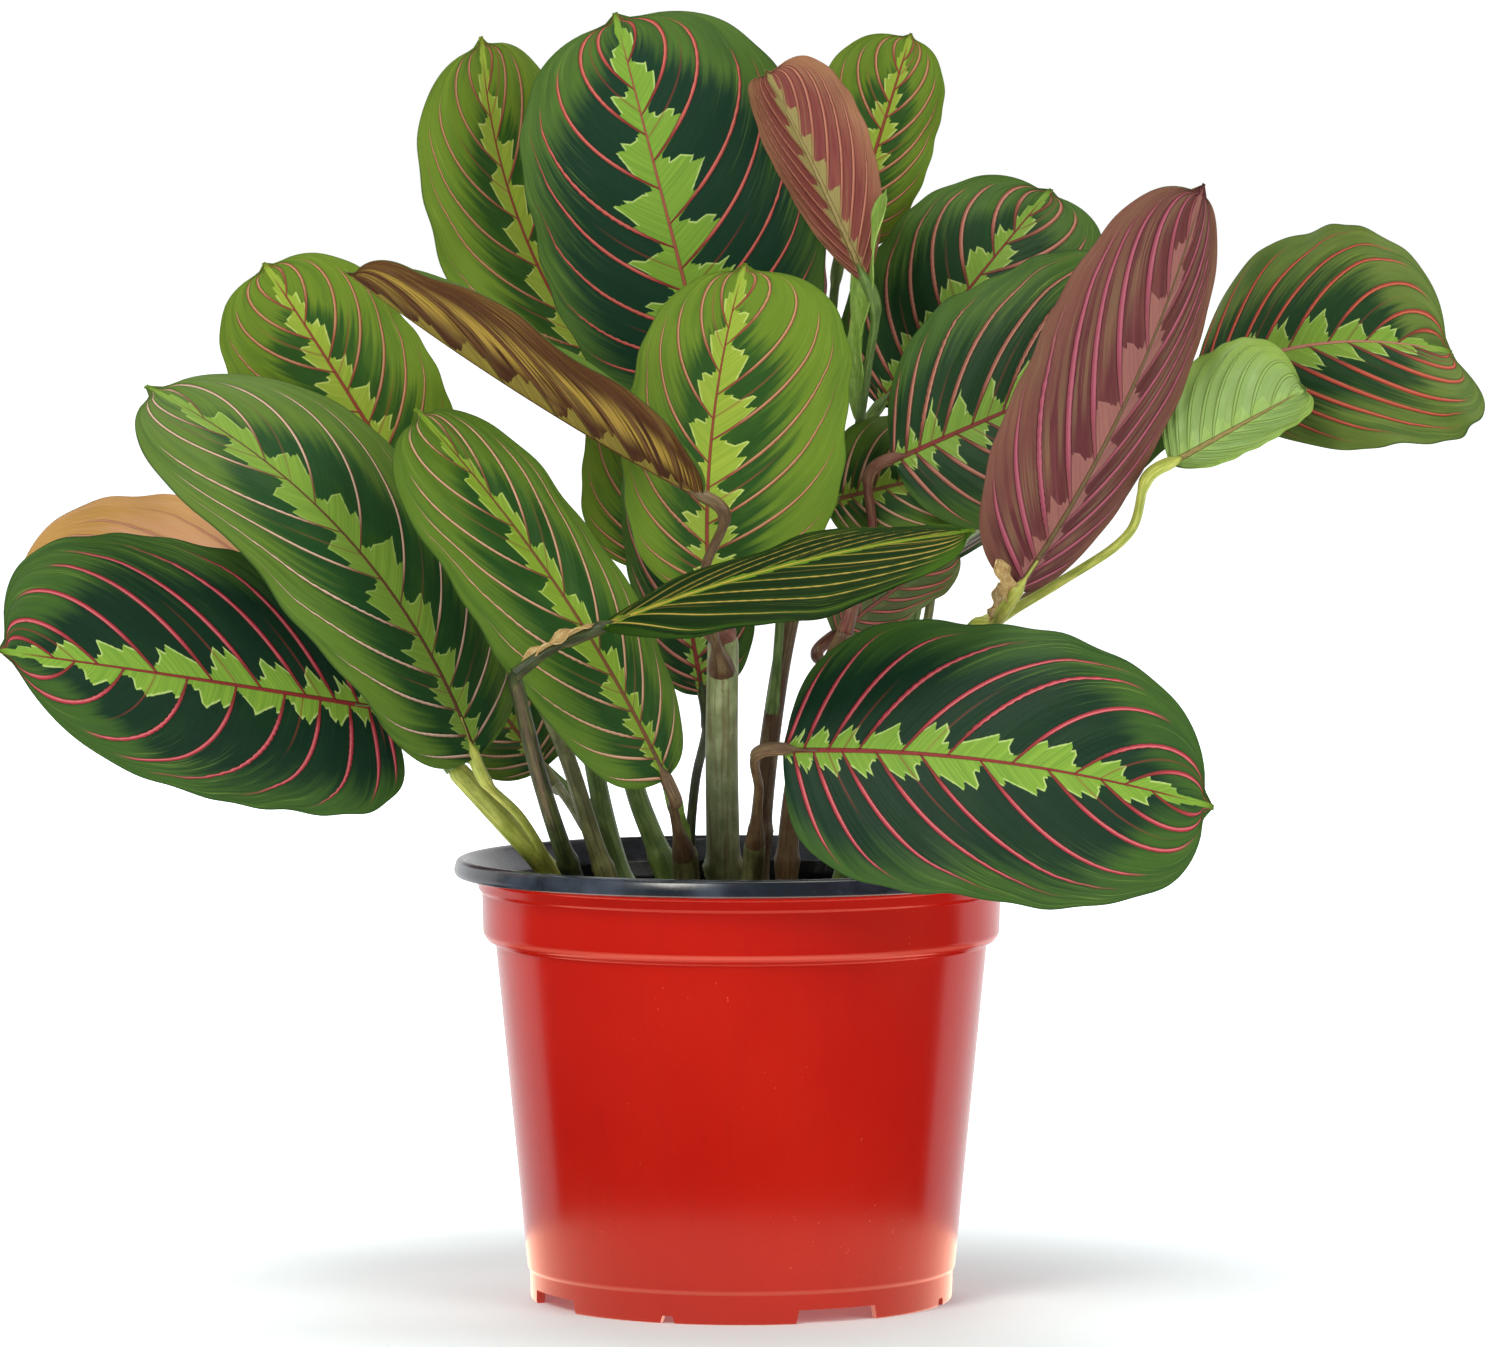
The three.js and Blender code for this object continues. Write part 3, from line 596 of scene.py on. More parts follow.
def add_tube(shape, points, radii, sides, slot, seed):
    """A round tube through these points. The material reads the turn round it and the run along it."""
    points = np.asarray(points, float)
    headings = np.gradient(points, axis=0)
    headings /= np.linalg.norm(headings, axis=1, keepdims=True)
    normal = unit(np.cross(headings[0], (0.3, 1, 0.2)))
    rings = []
    angles = 2 * np.pi * np.arange(sides) / sides
    for point, heading, radius in zip(points, headings, radii):
        normal = unit(normal - heading * normal.dot(heading))
        binormal = np.cross(heading, normal)
        ring = np.outer(np.cos(angles), normal) + np.outer(np.sin(angles), binormal)
        rings.append(point + ring * radius)
    run = np.concatenate([[0], np.cumsum(np.linalg.norm(np.diff(points, axis=0), axis=1))])
    faces = ring_faces(len(points), sides)
    reads = []
    for k in (corner for face in faces for corner in face):
        at = run[k // sides]
        turn = angles[k % sides]
        reads.append((math.cos(turn), math.sin(turn), 0, 0, 0, 0, at, 0, seed))
    shape.add(np.vstack(rings), faces, [slot] * len(faces), np.array(reads))


def hump(distance, rise, length):
    return rise * np.exp(-((distance / length) ** 2))


def cane_radii(cane, length):
    """The radius swells at the joint over the soil, and the top is rounded off."""
    u = np.linspace(0, 1, CANE_STEPS + 1)
    low, high = cane.radii
    joint = (u - CANE_JOINT) * length
    swelling = 1 + hump(joint, 0.2, 3.5) + hump(joint - 1, 0.07, 0.8)
    to_top = (1 - u) * length
    dome = np.sqrt(np.clip(1 - (1 - to_top / high) ** 2, 0.04, 1)) * (to_top < high) + (to_top >= high)
    return (low + (high - low) * u) * swelling * dome


def stalk_points(leaf):
    base = np.array(leaf.base, float)
    heading = unit(midrib(leaf, 0.02) - base)
    root = smooth_route(CANES[leaf.on].route, CANE_MARKS + 1)[0][round(CANE_MARKS * leaf.at)]
    route = [root, *leaf.via, base - heading * STALK_LEAD, midrib(leaf, STALK_END["share"])]
    return smooth_route(route, STALK_STEPS + 1)


def stalk_radii(leaf, length):
    """A sheath clasps the cane, and a swollen joint carries the blade."""
    run = np.linspace(0, length, STALK_STEPS + 1)
    low, high = CANES[leaf.on].radii
    cane = (low + (high - low) * leaf.at) * CLASP_SHARE
    to_blade = length - run - STALK_END["share"] * blade_axes(leaf)[4]
    clasp = hump(run, cane - STALK_RADIUS, CLASP_LENGTH)
    joint = np.clip((JOINT_LENGTH - to_blade) / 2.5, 0, 1)
    joint = (JOINT_RADIUS - STALK_RADIUS) * joint * joint * (3 - 2 * joint)
    inside = np.clip(-to_blade / 4, 0, 1)
    return (STALK_RADIUS + clasp + joint) * (1 - inside) + STALK_END["radius"] * 0.5 * inside


class Field:
    """A number that shader nodes work out at each point of a surface."""

    def __init__(self, tree, socket):
        self.tree = tree
        self.socket = socket

    def math(self, operation, *others):
        node = self.tree.nodes.new("ShaderNodeMath")
        node.operation = operation
        for slot, value in zip(node.inputs, (self, *others)):
            plug(self.tree, value, slot)
        return Field(self.tree, node.outputs[0])

    def __add__(self, other):
        return self.math("ADD", other)

    def __sub__(self, other):
        return self.math("SUBTRACT", other)

    def __mul__(self, other):
        return self.math("MULTIPLY", other)

    def __rsub__(self, other):
        return (self * -1) + other

    def above(self, low, high):
        """Rises smoothly from 0 at low to 1 at high."""
        node = self.tree.nodes.new("ShaderNodeMapRange")
        node.interpolation_type = "SMOOTHSTEP"
        for name, value in (("Value", self), ("From Min", low), ("From Max", high)):
            plug(self.tree, value, node.inputs[name])
        return Field(self.tree, node.outputs["Result"])

    def below(self, low, high):
        return 1 - self.above(low, high)


def plug(tree, value, slot):
    """Links a field or a socket to the slot, or sets the slot to a number or to a colour's code."""
    if isinstance(value, Field):
        value = value.socket
    if isinstance(value, bpy.types.NodeSocket):
        tree.links.new(value, slot)
    else:
        slot.default_value = linear(value) if isinstance(value, str) else value


def linear(code):
    """The renderer's linear colour for a screen colour's code, such as #ff8000."""
    result = []
    for start in (1, 3, 5):
        c = int(code[start : start + 2], 16) / 255
        result.append(c / 12.92 if c <= 0.04045 else ((c + 0.055) / 1.055) ** 2.4)
    return (*result, 1)


def new_material(name, roughness, specular):
    material = bpy.data.materials.new(name)
    material.use_nodes = True
    tree = material.node_tree
    shader = tree.nodes["Principled BSDF"]
    shader.inputs["Roughness"].default_value = roughness
    shader.inputs["Specular IOR Level"].default_value = specular
    return material, tree, shader


def parted(tree, vector):
    split = tree.nodes.new("ShaderNodeSeparateXYZ")
    tree.links.new(vector, split.inputs[0])
    return [Field(tree, output) for output in split.outputs]


def note(tree, title):
    """The three numbers of a note that the mesh carries."""
    node = tree.nodes.new("ShaderNodeAttribute")
    node.attribute_name = title
    return parted(tree, node.outputs["Vector"])


def place(tree):
    """Where the point is on the object, in metres."""
    return parted(tree, tree.nodes.new("ShaderNodeTexCoord").outputs["Object"])


def noise(tree, x, y, z, detail, scale=1.0):
    joined = tree.nodes.new("ShaderNodeCombineXYZ")
    for value, slot in zip((x, y, z), joined.inputs):
        plug(tree, value, slot)
    node = tree.nodes.new("ShaderNodeTexNoise")
    tree.links.new(joined.outputs[0], node.inputs["Vector"])
    node.inputs["Scale"].default_value = scale
    node.inputs["Detail"].default_value = detail
    return Field(tree, node.outputs["Fac"])


def layered(tree, colour, *layers):
    """A colour under layers, each of them a share from 0 to 1 and the colour that it lays on."""
    for share, above in layers:
        node = tree.nodes.new("ShaderNodeMix")
        node.data_type = "RGBA"
        for value, index in ((share, 0), (colour, 6), (above, 7)):
            plug(tree, value, node.inputs[index])
        colour = node.outputs[2]
    return colour


def add_bump(tree, shader, height, depth_mm):
    node = tree.nodes.new("ShaderNodeBump")
    node.inputs["Distance"].default_value = depth_mm * MM
    plug(tree, height, node.inputs["Height"])
    tree.links.new(node.outputs["Normal"], shader.inputs["Normal"])


def blade_material(name, tone):
    """Side veins with a painted highlight and painted shade beside them, feathered band, dark blotches and
    light edge, drawn from the blade's notes.
    """
    material, tree, shader = new_material(name, tone["roughness"], tone["specular"])
    q, v, t = note(tree, "fan")
    spacing, vein_mm, half = note(tree, "span")
    s, band, seed = note(tree, "spot")
    # q counts the side veins up the midrib, and v those out on the blade. t is 1 at the edge, s at the tip.
    # In millimetres, spacing is from vein to vein on the midrib, vein_mm the same here, and half is how wide
    # the blade is from its midrib to its edge.
    shift = seed * 7.3

    streaks = noise(tree, v * 7, s * 4, shift, detail=3)
    fine = noise(tree, v * 24, s * 6, shift, detail=2)
    cloud = noise(tree, v * 1.3, t * 3, shift, detail=3)

    # The feather has a lobe beyond each side vein, with teeth towards the tip and a square end.
    interval = q.math("FLOOR")
    along = q.math("FRACT")
    chance = ((interval * 12.9 + shift).math("SINE") * 43.7).math("FRACT")
    tooth = (along * (chance + 1.7) + chance * 3 + fine * 0.25).math("FRACT")
    height = band * (along * 0.42 + 0.62) * (tooth * 0.3 + 0.76) * (chance * 0.3 + 0.85)
    notch = ((t * half * 0.15 + chance * 2).math("FRACT") - 0.5).math("ABSOLUTE") * 2
    under_top = (height - t) * half
    past_vein = (v - interval) * vein_mm + under_top * 0.14
    before_end = (1 - along) * spacing - notch * 1.2 * t.above(0.02, 0.1) - 0.2
    lobe = past_vein.math("MINIMUM", under_top).math("MINIMUM", before_end)
    strip = (height * 0.4 * half).math("MAXIMUM", 1.5 - s * 0.6) - t * half
    feather = lobe.math("MAXIMUM", strip).above(-0.12, 0.2)
    brink = under_top.math("MINIMUM", before_end).math("MAXIMUM", strip)
    edge = brink.below(0.2, tone["edge_mm"]) * feather * (t * half).above(1.6, 2.6)

    # Side veins start thin at the midrib, and taper off before the margin.
    beside = (v - v.math("ROUND")) * vein_mm
    to_vein = beside.math("ABSOLUTE")
    shown = v.above(-0.6, -0.5) * v.below(8.3, 8.5)
    full = (t.above(0, 0.3) * 0.45 + 0.55) * (1 - t.above(0.5, 1) * 0.62) * tone["vein_mm"]
    width = full.math("MINIMUM", vein_mm * 0.15)
    fading = (t + (cloud - 0.5) * 0.16 + s.above(0.72, 1) * 0.25).below(0.8, 0.95) * shown
    vein = to_vein.below(width * 0.72, width * 1.15) * fading
    # A painted highlight: a lighter line along one side of each vein, where its ridge would catch the light.
    vein_highlight = (beside - width * 0.3).math("ABSOLUTE").below(width * 0.1, width * 0.6)
    # Painted shade: a darker band on both sides of each vein, where its ridge would shade the blade.
    vein_shade = to_vein.below(width, width * 2.3) * fading
    half_step = (v.math("FRACT") - 0.5).math("ABSOLUTE") * vein_mm
    chosen = (v.math("FLOOR") * 2.37 + shift).math("SINE").above(0.35, 0.45)
    minor = half_step.below(0.12, 0.42) * t.below(0.3, 0.6) * shown * chosen
    rib_width = (1.25 - s) * tone["rib_mm"]
    rib = (t * half).below(rib_width * 0.7, rib_width * 1.15) * s.below(0.86, 0.97)

    # Dark blotches reach from the midrib towards the edge, and less far near the tip.
    reach = t + (streaks - 0.5) * tone["uneven"] + (cloud - 0.5) * 0.3
    reach = reach + s.above(0.64, 0.98) * tone["tip_light"]
    dark = reach.below(tone["reach"] - tone["soft"], tone["reach"] + tone["soft"])
    dark = dark * (1 - to_vein.below(0, tone["beside_mm"]) * tone["vein_light"])
    lines = fine.above(0.5, 0.7) * streaks.above(0.42, 0.66) * t.above(0.4, 0.8) * s.above(0.2, 0.6)
    stripe = t.above(0.2, 0.45) * t.below(0.5, 0.75) * streaks.above(0.4, 0.55)
    light = layered(tree, tone["feather"], (fine.above(0.3, 0.7) * 0.6, tone["feather_shade"]))
    vein_colour = layered(
        tree, tone["vein_inner"], (t.above(0.1, 0.3), tone["vein_outer"]),
        # the veins' painted highlight
        (vein_highlight * t.above(0.15, 0.35) * tone["vein_highlight"], tone["vein_highlight_colour"]),
    )
    ground = layered(
        tree,
        tone["margin"],
        (dark, tone["dark"]),
        (cloud.above(0.45, 0.75) * tone["cloud"], tone["middle"]),
        (lines * tone["streaks"], tone["streak"]),
        (stripe * tone["stripe"], tone["streak"]),
        (fine.above(0.35, 0.75) * 0.2, tone["shade"]),
        (feather * tone["feather_share"], light),
        (edge * tone["edge_share"], tone["edge"]),
        # the painted shade beside the veins
        (vein_shade * tone["vein_shade"] * t.above(0.12, 0.3), tone["shade"]),
        (minor * tone["minor"], tone["vein_inner"]),
        (vein * tone["vein_share"], vein_colour),
        (rib, tone["rib"]),
        (t.above(0.985, 1.0) * 0.5, tone["shade"]),
    )
    plug(tree, ground, shader.inputs["Base Color"])

    ridge = vein * tone["vein_rise"] + rib * tone["rib_rise"] + fine * 0.2 + streaks * 0.3
    add_bump(tree, shader, ridge, 0.5)
    plug(tree, fine * 0.14 + (tone["roughness"] - 0.07), shader.inputs["Roughness"])
    return material


def stalk_material(name, low, high, joint, flecks):
    """Round stalks and canes: two tones along their length, a joint, fine ribs and brown flecks."""
    material, tree, shader = new_material(name, 0.42, 0.45)
    across, up, _ = note(tree, "fan")
    run, _, seed = note(tree, "spot")
    shift = seed * 3.7
    ribs = noise(tree, across * 2.2, up * 2.2, run * 0.03 + shift, scale=2.0, detail=3)
    cloud = noise(tree, across * 0.8, up * 0.8, run * 0.12 + shift, scale=1.2, detail=3)
    spots = noise(tree, across * 3, up * 3, run * 0.9 + shift, detail=3)
    colour = layered(
        tree, low, (cloud.above(0.35, 0.65), high), (ribs.above(0.46, 0.66) * 0.6, joint),
        (spots.above(0.6, 0.72) * flecks, "#3e2214"),
    )
    plug(tree, colour, shader.inputs["Base Color"])
    add_bump(tree, shader, ribs + spots * 0.3, 0.35)
    return material


# What the tones of a blade hold beside its colours. Widths end in _mm. The dark blotches run to reach, of 1
# at the edge, more or less uneven and soft, and less far with more tip_light and vein_light. Lines stand out
# by their rise. The rest says from 0 to 1 how strongly a marking shows.
# Among the markings are the painted highlight along one side of each vein and the painted shade beside the
# veins.
UPPER_BASE = dict(
    roughness=0.5, specular=0.16, vein_mm=0.64, rib_mm=0.62, edge_mm=0.7, beside_mm=2.6, vein_rise=0.9,
    rib_rise=0.8, uneven=0.5, soft=0.2, tip_light=0.72, vein_light=0.0, vein_shade=0.3, minor=0.55, vein_highlight=0.7,
    vein_share=1.0, feather_share=1.0, edge_share=0.65, stripe=0.0,
)
DEEP = dict(
    UPPER_BASE, dark="#0e2e1c", middle="#163a1c", margin="#38581f", shade="#092018", streak="#829e42",
    streaks=0.6, cloud=0.45, reach=0.8, feather="#769834", feather_shade="#547c26", edge="#b6c87e",
    vein_inner="#762c28", vein_outer="#982e3a", vein_highlight_colour="#c87072", rib="#7c2a28",
)
DARK = dict(
    UPPER_BASE, dark="#16381a", middle="#22481c", margin="#426123", shade="#0e2616", streak="#8aa046",
    streaks=0.6, cloud=0.5, reach=0.7, feather="#779638", feather_shade="#587e28", edge="#b2c37a",
    vein_inner="#6c382c", vein_outer="#8e5244", vein_highlight_colour="#b88674", rib="#76302a",
)
UPPERS = {
    "deep": DEEP,
    "wide": dict(
        DEEP, dark="#113422", margin="#466424", vein_outer="#9e423c", vein_highlight_colour="#c47064",
        rib="#924e3e", reach=0.84, vein_mm=0.54,
    ),
    "dark": DARK,
    "brick": dict(
        DARK, dark="#18381b", margin="#5a6e2e", vein_outer="#96382e", vein_highlight_colour="#bc6c4e", reach=0.56,
        uneven=0.7, rib="#ac7062",
    ),
    "pleated": dict(
        DARK, dark="#1b421c", middle="#2e501c", margin="#547024", vein_outer="#a8826c",
        vein_highlight_colour="#d4c4b0", vein_mm=0.46, reach=0.6, cloud=0.6, vein_inner="#6c4832", vein_shade=0.5,
        edge_share=0.35, rib="#623e2c",
    ),
    "mid": dict(
        UPPER_BASE, dark="#204518", middle="#32571a", margin="#526e1f", shade="#183215",
        streak="#92a540", streaks=0.5, cloud=0.6, reach=0.56, feather="#7a942e",
        feather_shade="#608224", edge="#aebe68", vein_inner="#70482e", vein_outer="#a6785c",
        vein_highlight_colour="#ccae92", rib="#70462c", vein_mm=0.46,
    ),
    "light": dict(
        UPPER_BASE, dark="#254b17", middle="#416519", margin="#617b1e", shade="#2e4818",
        streak="#9cac44", streaks=0.45, cloud=0.55, reach=0.48, feather="#8fa237",
        feather_shade="#74922a", edge="#bcc876", vein_inner="#844232", vein_outer="#965c42",
        vein_highlight_colour="#c09672", rib="#863e2e", vein_mm=0.46, uneven=0.8,
    ),
    "fresh": dict(
        UPPER_BASE, dark="#0f2608", middle="#26440e", margin="#3a5c14", shade="#0f2208",
        streak="#7c922c", streaks=0.5, cloud=0.25, reach=1.3, roughness=0.6, specular=0.06,
        feather="#618220", feather_shade="#4d711b", edge="#829c33", vein_inner="#8c7c32",
        vein_outer="#907f3b", vein_highlight_colour="#ab984e", rib="#a6963e", vein_light=0.5, beside_mm=1.3,
        vein_mm=0.36, edge_share=0.1, minor=0.2,
    ),
}
UNDER_BASE = dict(
    roughness=0.48, specular=0.25, vein_mm=0.5, rib_mm=0.75, edge_mm=0.6, beside_mm=2.4, vein_rise=1.5,
    rib_rise=1.6, uneven=0.5, soft=0.3, tip_light=0.2, vein_shade=0.3, minor=0.3, vein_highlight=0.6, vein_share=0.75,
    edge_share=0.1, vein_light=0.3, streaks=0.4, cloud=0.5, reach=0.8, stripe=0.0,
)
UNDERS = {
    "purple": dict(
        UNDER_BASE, dark="#68303e", middle="#7a404c", margin="#80524e", shade="#46222c",
        streak="#967060", feather_share=0.3, feather="#886a54", feather_shade="#78544c", edge="#967860",
        vein_inner="#603032", vein_outer="#90545c", vein_highlight_colour="#ac7678", rib="#6e5c3c",
    ),
    "mauve": dict(
        UNDER_BASE, dark="#58242a", middle="#6e3c36", margin="#744c3a", shade="#462326",
        streak="#84704c", feather_share=0.5, streaks=0.9, feather="#a67266", feather_shade="#925c5a",
        edge="#b08270", vein_inner="#7e3e46", vein_outer="#8a3a4e", vein_highlight_colour="#ac6070", rib="#625032",
        vein_share=0.9, cloud=0.7, vein_mm=0.9, stripe=0.4,
    ),
    "brown": dict(
        UNDER_BASE, dark="#422212", middle="#7c6228", margin="#5c361a", shade="#28140a",
        streak="#a48636", feather_share=0.85, streaks=1.0, cloud=0.8, feather="#887a30",
        feather_shade="#6a5822", edge="#94863e", stripe=0.95, vein_inner="#402214",
        vein_outer="#5c3220", vein_highlight_colour="#72482c", rib="#68341e",
    ),
    "tan": dict(
        UNDER_BASE, dark="#ecb490", middle="#f0c0a0", margin="#cc9e54", shade="#cc946a",
        streak="#f6d6ac", feather_share=0.25, tip_light=0.9, feather="#eecc96", feather_shade="#e6b888",
        edge="#f0d2a0", vein_inner="#c4846a", vein_outer="#cc8a78", vein_highlight_colour="#dca086", rib="#a66446",
        vein_shade=0.15, minor=0.7,
    ),
    "pale": dict(
        UNDER_BASE, dark="#7c9656", middle="#8aa466", margin="#84a03e", shade="#587434",
        streak="#b0c488", feather_share=0.2, cloud=0.9, feather="#a0bc54", feather_shade="#8aac44",
        edge="#b4c86e", vein_inner="#70883e", vein_outer="#708c40", vein_highlight_colour="#a0b864", rib="#847442",
        vein_share=0.35, vein_shade=0.1,
    ),
    "maroon": dict(
        UNDER_BASE, dark="#742c30", middle="#884a3e", margin="#96684a", shade="#542222",
        streak="#b09664", feather_share=0.8, streaks=0.7, feather="#968e54", feather_shade="#7c7c3c",
        edge="#b4ac74", vein_inner="#926e48", vein_outer="#a05246", vein_highlight_colour="#c89678", rib="#927e4e",
        cloud=0.7,
    ),
    "olive": dict(
        UNDER_BASE, dark="#526432", middle="#606c3a", margin="#707c42", shade="#3a4224",
        streak="#929c5c", feather_share=0.25, feather="#7c8c48", feather_shade="#6c7c3c",
        edge="#96a060", vein_inner="#965046", vein_outer="#b0544c", vein_highlight_colour="#c47062", rib="#8c5040",
        vein_mm=0.65, vein_share=0.9,
    ),
}
STALKS = {
    "yellow": ("#96a03c", "#b8bc58", "#788034", 0.35),
    "grey": ("#748050", "#969e72", "#685438", 0.35),
    "green": ("#547032", "#748e48", "#3c5428", 0.3),
    "olive": ("#60643a", "#828454", "#464228", 0.5),
    "brown": ("#5c422c", "#766042", "#3e2c1e", 0.7),
    "red": ("#703a32", "#805a40", "#4a2420", 0.4),
    "dark": ("#28341a", "#404a22", "#1c1e12", 0.4),
    "bract_green": ("#789c38", "#96b458", "#608230", 0.1),
    "bract_dry": ("#b08c54", "#c6ae76", "#805432", 0.5),
}


def build_blades_and_stalks(stalks):
    uppers = {name: blade_material("blade_" + name, tone) for name, tone in UPPERS.items()}
    unders = {name: blade_material("under_" + name, tone) for name, tone in UNDERS.items()}
    for number, (name, leaf) in enumerate(LEAVES.items()):
        upper, under, stalk, *bracts = leaf.looks
        seed = number + 1
        shape = Shape()
        add_blade(shape, leaf, BLADE_GRID, seed, (0, 1))
        points, length = stalk_points(leaf)
        add_tube(shape, points, stalk_radii(leaf, length), STALK_SIDES, 2, seed)
        for bract in leaf.sheaths:
            add_blade(shape, bract, SHEATH_GRID, seed, (3, 3))
        tubes = [stalks[look] for look in (stalk, *bracts)]
        materials = (uppers[upper], unders[under], *tubes)
        stands_for(shape.object(name + "_blade", materials), name)


def build_canes(stalks):
    for number, (name, cane) in enumerate(CANES.items()):
        points, length = smooth_route(cane.route, CANE_STEPS + 1)
        shape = Shape()
        add_tube(shape, points, cane_radii(cane, length), CANE_SIDES, 0, number + 50)
        stands_for(shape.object(name + "_cane", (stalks[cane.look],)), name)


def lathe(profile, segments, materials_at):
    """A closed turned body. profile holds (radius, height), and materials_at a slot for each stretch."""
    points = [point for radius, height in profile for point in circle(radius, height, segments)]
    slots = [slot for slot in materials_at for _ in range(segments)]
    return points, ring_faces(len(profile), segments), [*slots, materials_at[0], materials_at[-1]]


def rounded(profile, radius, steps=3):
    """The profile with each inner corner rounded by up to this radius."""
    points = [np.array(p, float) for p in profile]
    result = [points[0]]
    for before, corner, after in zip(points, points[1:], points[2:]):
        back, on = before - corner, after - corner
        cut = min(radius, np.linalg.norm(back) * 0.4, np.linalg.norm(on) * 0.4)
        start = corner + unit(back) * cut
        end = corner + unit(on) * cut
        for k in range(steps + 1):
            u = k / steps
            result.append((1 - u) ** 2 * start + 2 * u * (1 - u) * corner + u * u * end)
    result.append(points[-1])
    return result


POT_OUTSIDE = (
    (3, FLOOR_UNDER),
    (FOOT_RADIUS - 2.4, FLOOR_UNDER),
    (FOOT_RADIUS - 2.6, 0),
    (FOOT_RADIUS, 0),
    (60.8, 8.4),
    (61.4, 9.2),
    (70.5, 102.2),
    (72.8, 103.2),
    (74.1, 105.4),
    (74.4, 117),
    (75.3, 117.8),
    (75.8, 120.6),
)
BAND_SEAM = 104.4
FOOT_SEAM = 9
POT_ROUNDING = 0.7
LIP_FACE = 121  # from here up, the rim is the black lip
# Below LIP_UNDER the inside's black is also darker, as painted shade.
LIP_UNDER = 120  # and below this the inside is duller
POT_LIP = (
    (LIP_RADIUS - 0.6, 121.8),
    (LIP_RADIUS, 123.4),
    (LIP_RADIUS - 0.8, 126.2),
    (LIP_RADIUS - 2.6, POT_HEIGHT),
)
POT_INSIDE = (
    (78.6, 126),
    (74.6, 120.4),
    (74.4 - WALL, 116),
    (72.9, 104.6),
    (70.4 - WALL, 100.6),
    (60.9 - WALL, FLOOR_TOP),
    (3, FLOOR_TOP),
)


def cut_out(pot, points, faces, turn):
    """Takes a solid in millimetres out of the pot, turned about the pot's axis."""
    c, s = math.cos(turn), math.sin(turn)
    turned = [(x * c - y * s, x * s + y * c, z) for x, y, z in points]
    cutter = new_object("cutter", metres(turned), faces)
    step = pot.modifiers.new("cut", "BOOLEAN")
    step.object = cutter
    step.solver = "EXACT"
    bpy.context.view_layer.objects.active = pot
    bpy.ops.object.modifier_apply(modifier=step.name)
    bpy.data.objects.remove(cutter)


def block(at, depth, width, height):
    """A wedge-sided block, wider below, for a slot through the foot."""
    x0, x1 = at - depth / 2, at + depth / 2
    low, high = width / 2 + 0.5, width / 2 - 0.5
    points = []
    for z, half in ((-1, low), (height, high)):
        points += [(x0, -half, z), (x1, -half, z), (x1, half, z), (x0, half, z)]
    faces = [(3, 2, 1, 0), (4, 5, 6, 7), (0, 1, 5, 4), (1, 2, 6, 5), (2, 3, 7, 6), (3, 0, 4, 7)]
    return points, faces


def drill(at, radius):
    """A round drill through the pot's floor."""
    sides = 24
    ends = circle(radius, FLOOR_UNDER - 2, sides) + circle(radius, FLOOR_TOP + 2, sides)
    return [(at + x, y, z) for x, y, z in ends], ring_faces(2, sides)


def build_pot():
    profile = rounded(POT_OUTSIDE + POT_LIP + POT_INSIDE, POT_ROUNDING)
    slots = []
    outside = True
    for radius, height in profile[:-1]:
        if radius > LIP_RADIUS - 6 and height > LIP_FACE:
            outside = False
        slots.append(0 if outside else 1 if height > LIP_UNDER else 2)
    points, faces, slots = lathe(profile, POT_SEGMENTS, slots)
    # The lip's blue-grey tone is partly a painted reflection, and the inside's darker black is painted shade.
    lip = plain_black("pot_lip", "#1e232c", "#3e4654", 0.6)
    inside = plain_black("pot_inside_painted_shade", "#06080c", "#0e1014", 0.15)
    pot = new_object("pot_shell", metres(points), faces, (pot_material(), lip, inside))
    pot.data.polygons.foreach_set("material_index", slots)
    slot, nick = (block(FOOT_RADIUS, DRAIN_DEPTH, d["width"], d["height"]) for d in (DRAIN_SLOT, DRAIN_NICK))
    hole = drill(DRAIN_HOLE["at"], DRAIN_HOLE["radius"])
    starts = (DRAIN_SLOT["start"], DRAIN_NICK["start"], DRAIN_START)
    for k in range(DRAINS):
        for start, solid in zip(starts, (slot, nick, hole)):
            cut_out(pot, *solid, math.radians(start) + 2 * math.pi * k / DRAINS)
    pot.data.shade_smooth()
    pot.data.set_sharp_from_angle(angle=math.radians(40))
    stands_for(pot, "pot")


def pot_material():
    """Satin orange-red plastic, with faint vertical streaks, scuffs, specks of dust and a painted highlight
    along two seams.
    """
    material, tree, shader = new_material("pot_red", 0.24, 0.22)
    x, y, z = place(tree)
    streak = noise(tree, x * 260, y * 260, z * 9, detail=3)
    cloud = noise(tree, x * 22, y * 22, z * 22, detail=4)
    speck = noise(tree, x * 900, y * 900, z * 900, detail=1)
    # A painted highlight: a light pink line along the seams under the rim band and over the foot, where their
    # bevels would catch the light.
    under_band_highlight = (z - BAND_SEAM * MM).math("ABSOLUTE").below(0.2 * MM, 1 * MM)
    over_foot_highlight = (z - FOOT_SEAM * MM).math("ABSOLUTE").below(0.2 * MM, 0.9 * MM)
    colour = layered(
        tree, "#ac0e00", (cloud.above(0.35, 0.7) * 0.5, "#b81800"), (streak.above(0.5, 0.8) * 0.2, "#960a00"),
        # the seams' painted highlight
        ((under_band_highlight + over_foot_highlight) * 0.35, "#e26e5a"),
        (speck.above(0.74, 0.8) * cloud.above(0.5, 0.6) * 0.5, "#dc6e54"),
    )
    plug(tree, colour, shader.inputs["Base Color"])
    plug(tree, streak * 0.06 + cloud * 0.08 + 0.13, shader.inputs["Roughness"])
    add_bump(tree, shader, streak * 0.5 + cloud, 0.05)
    return material


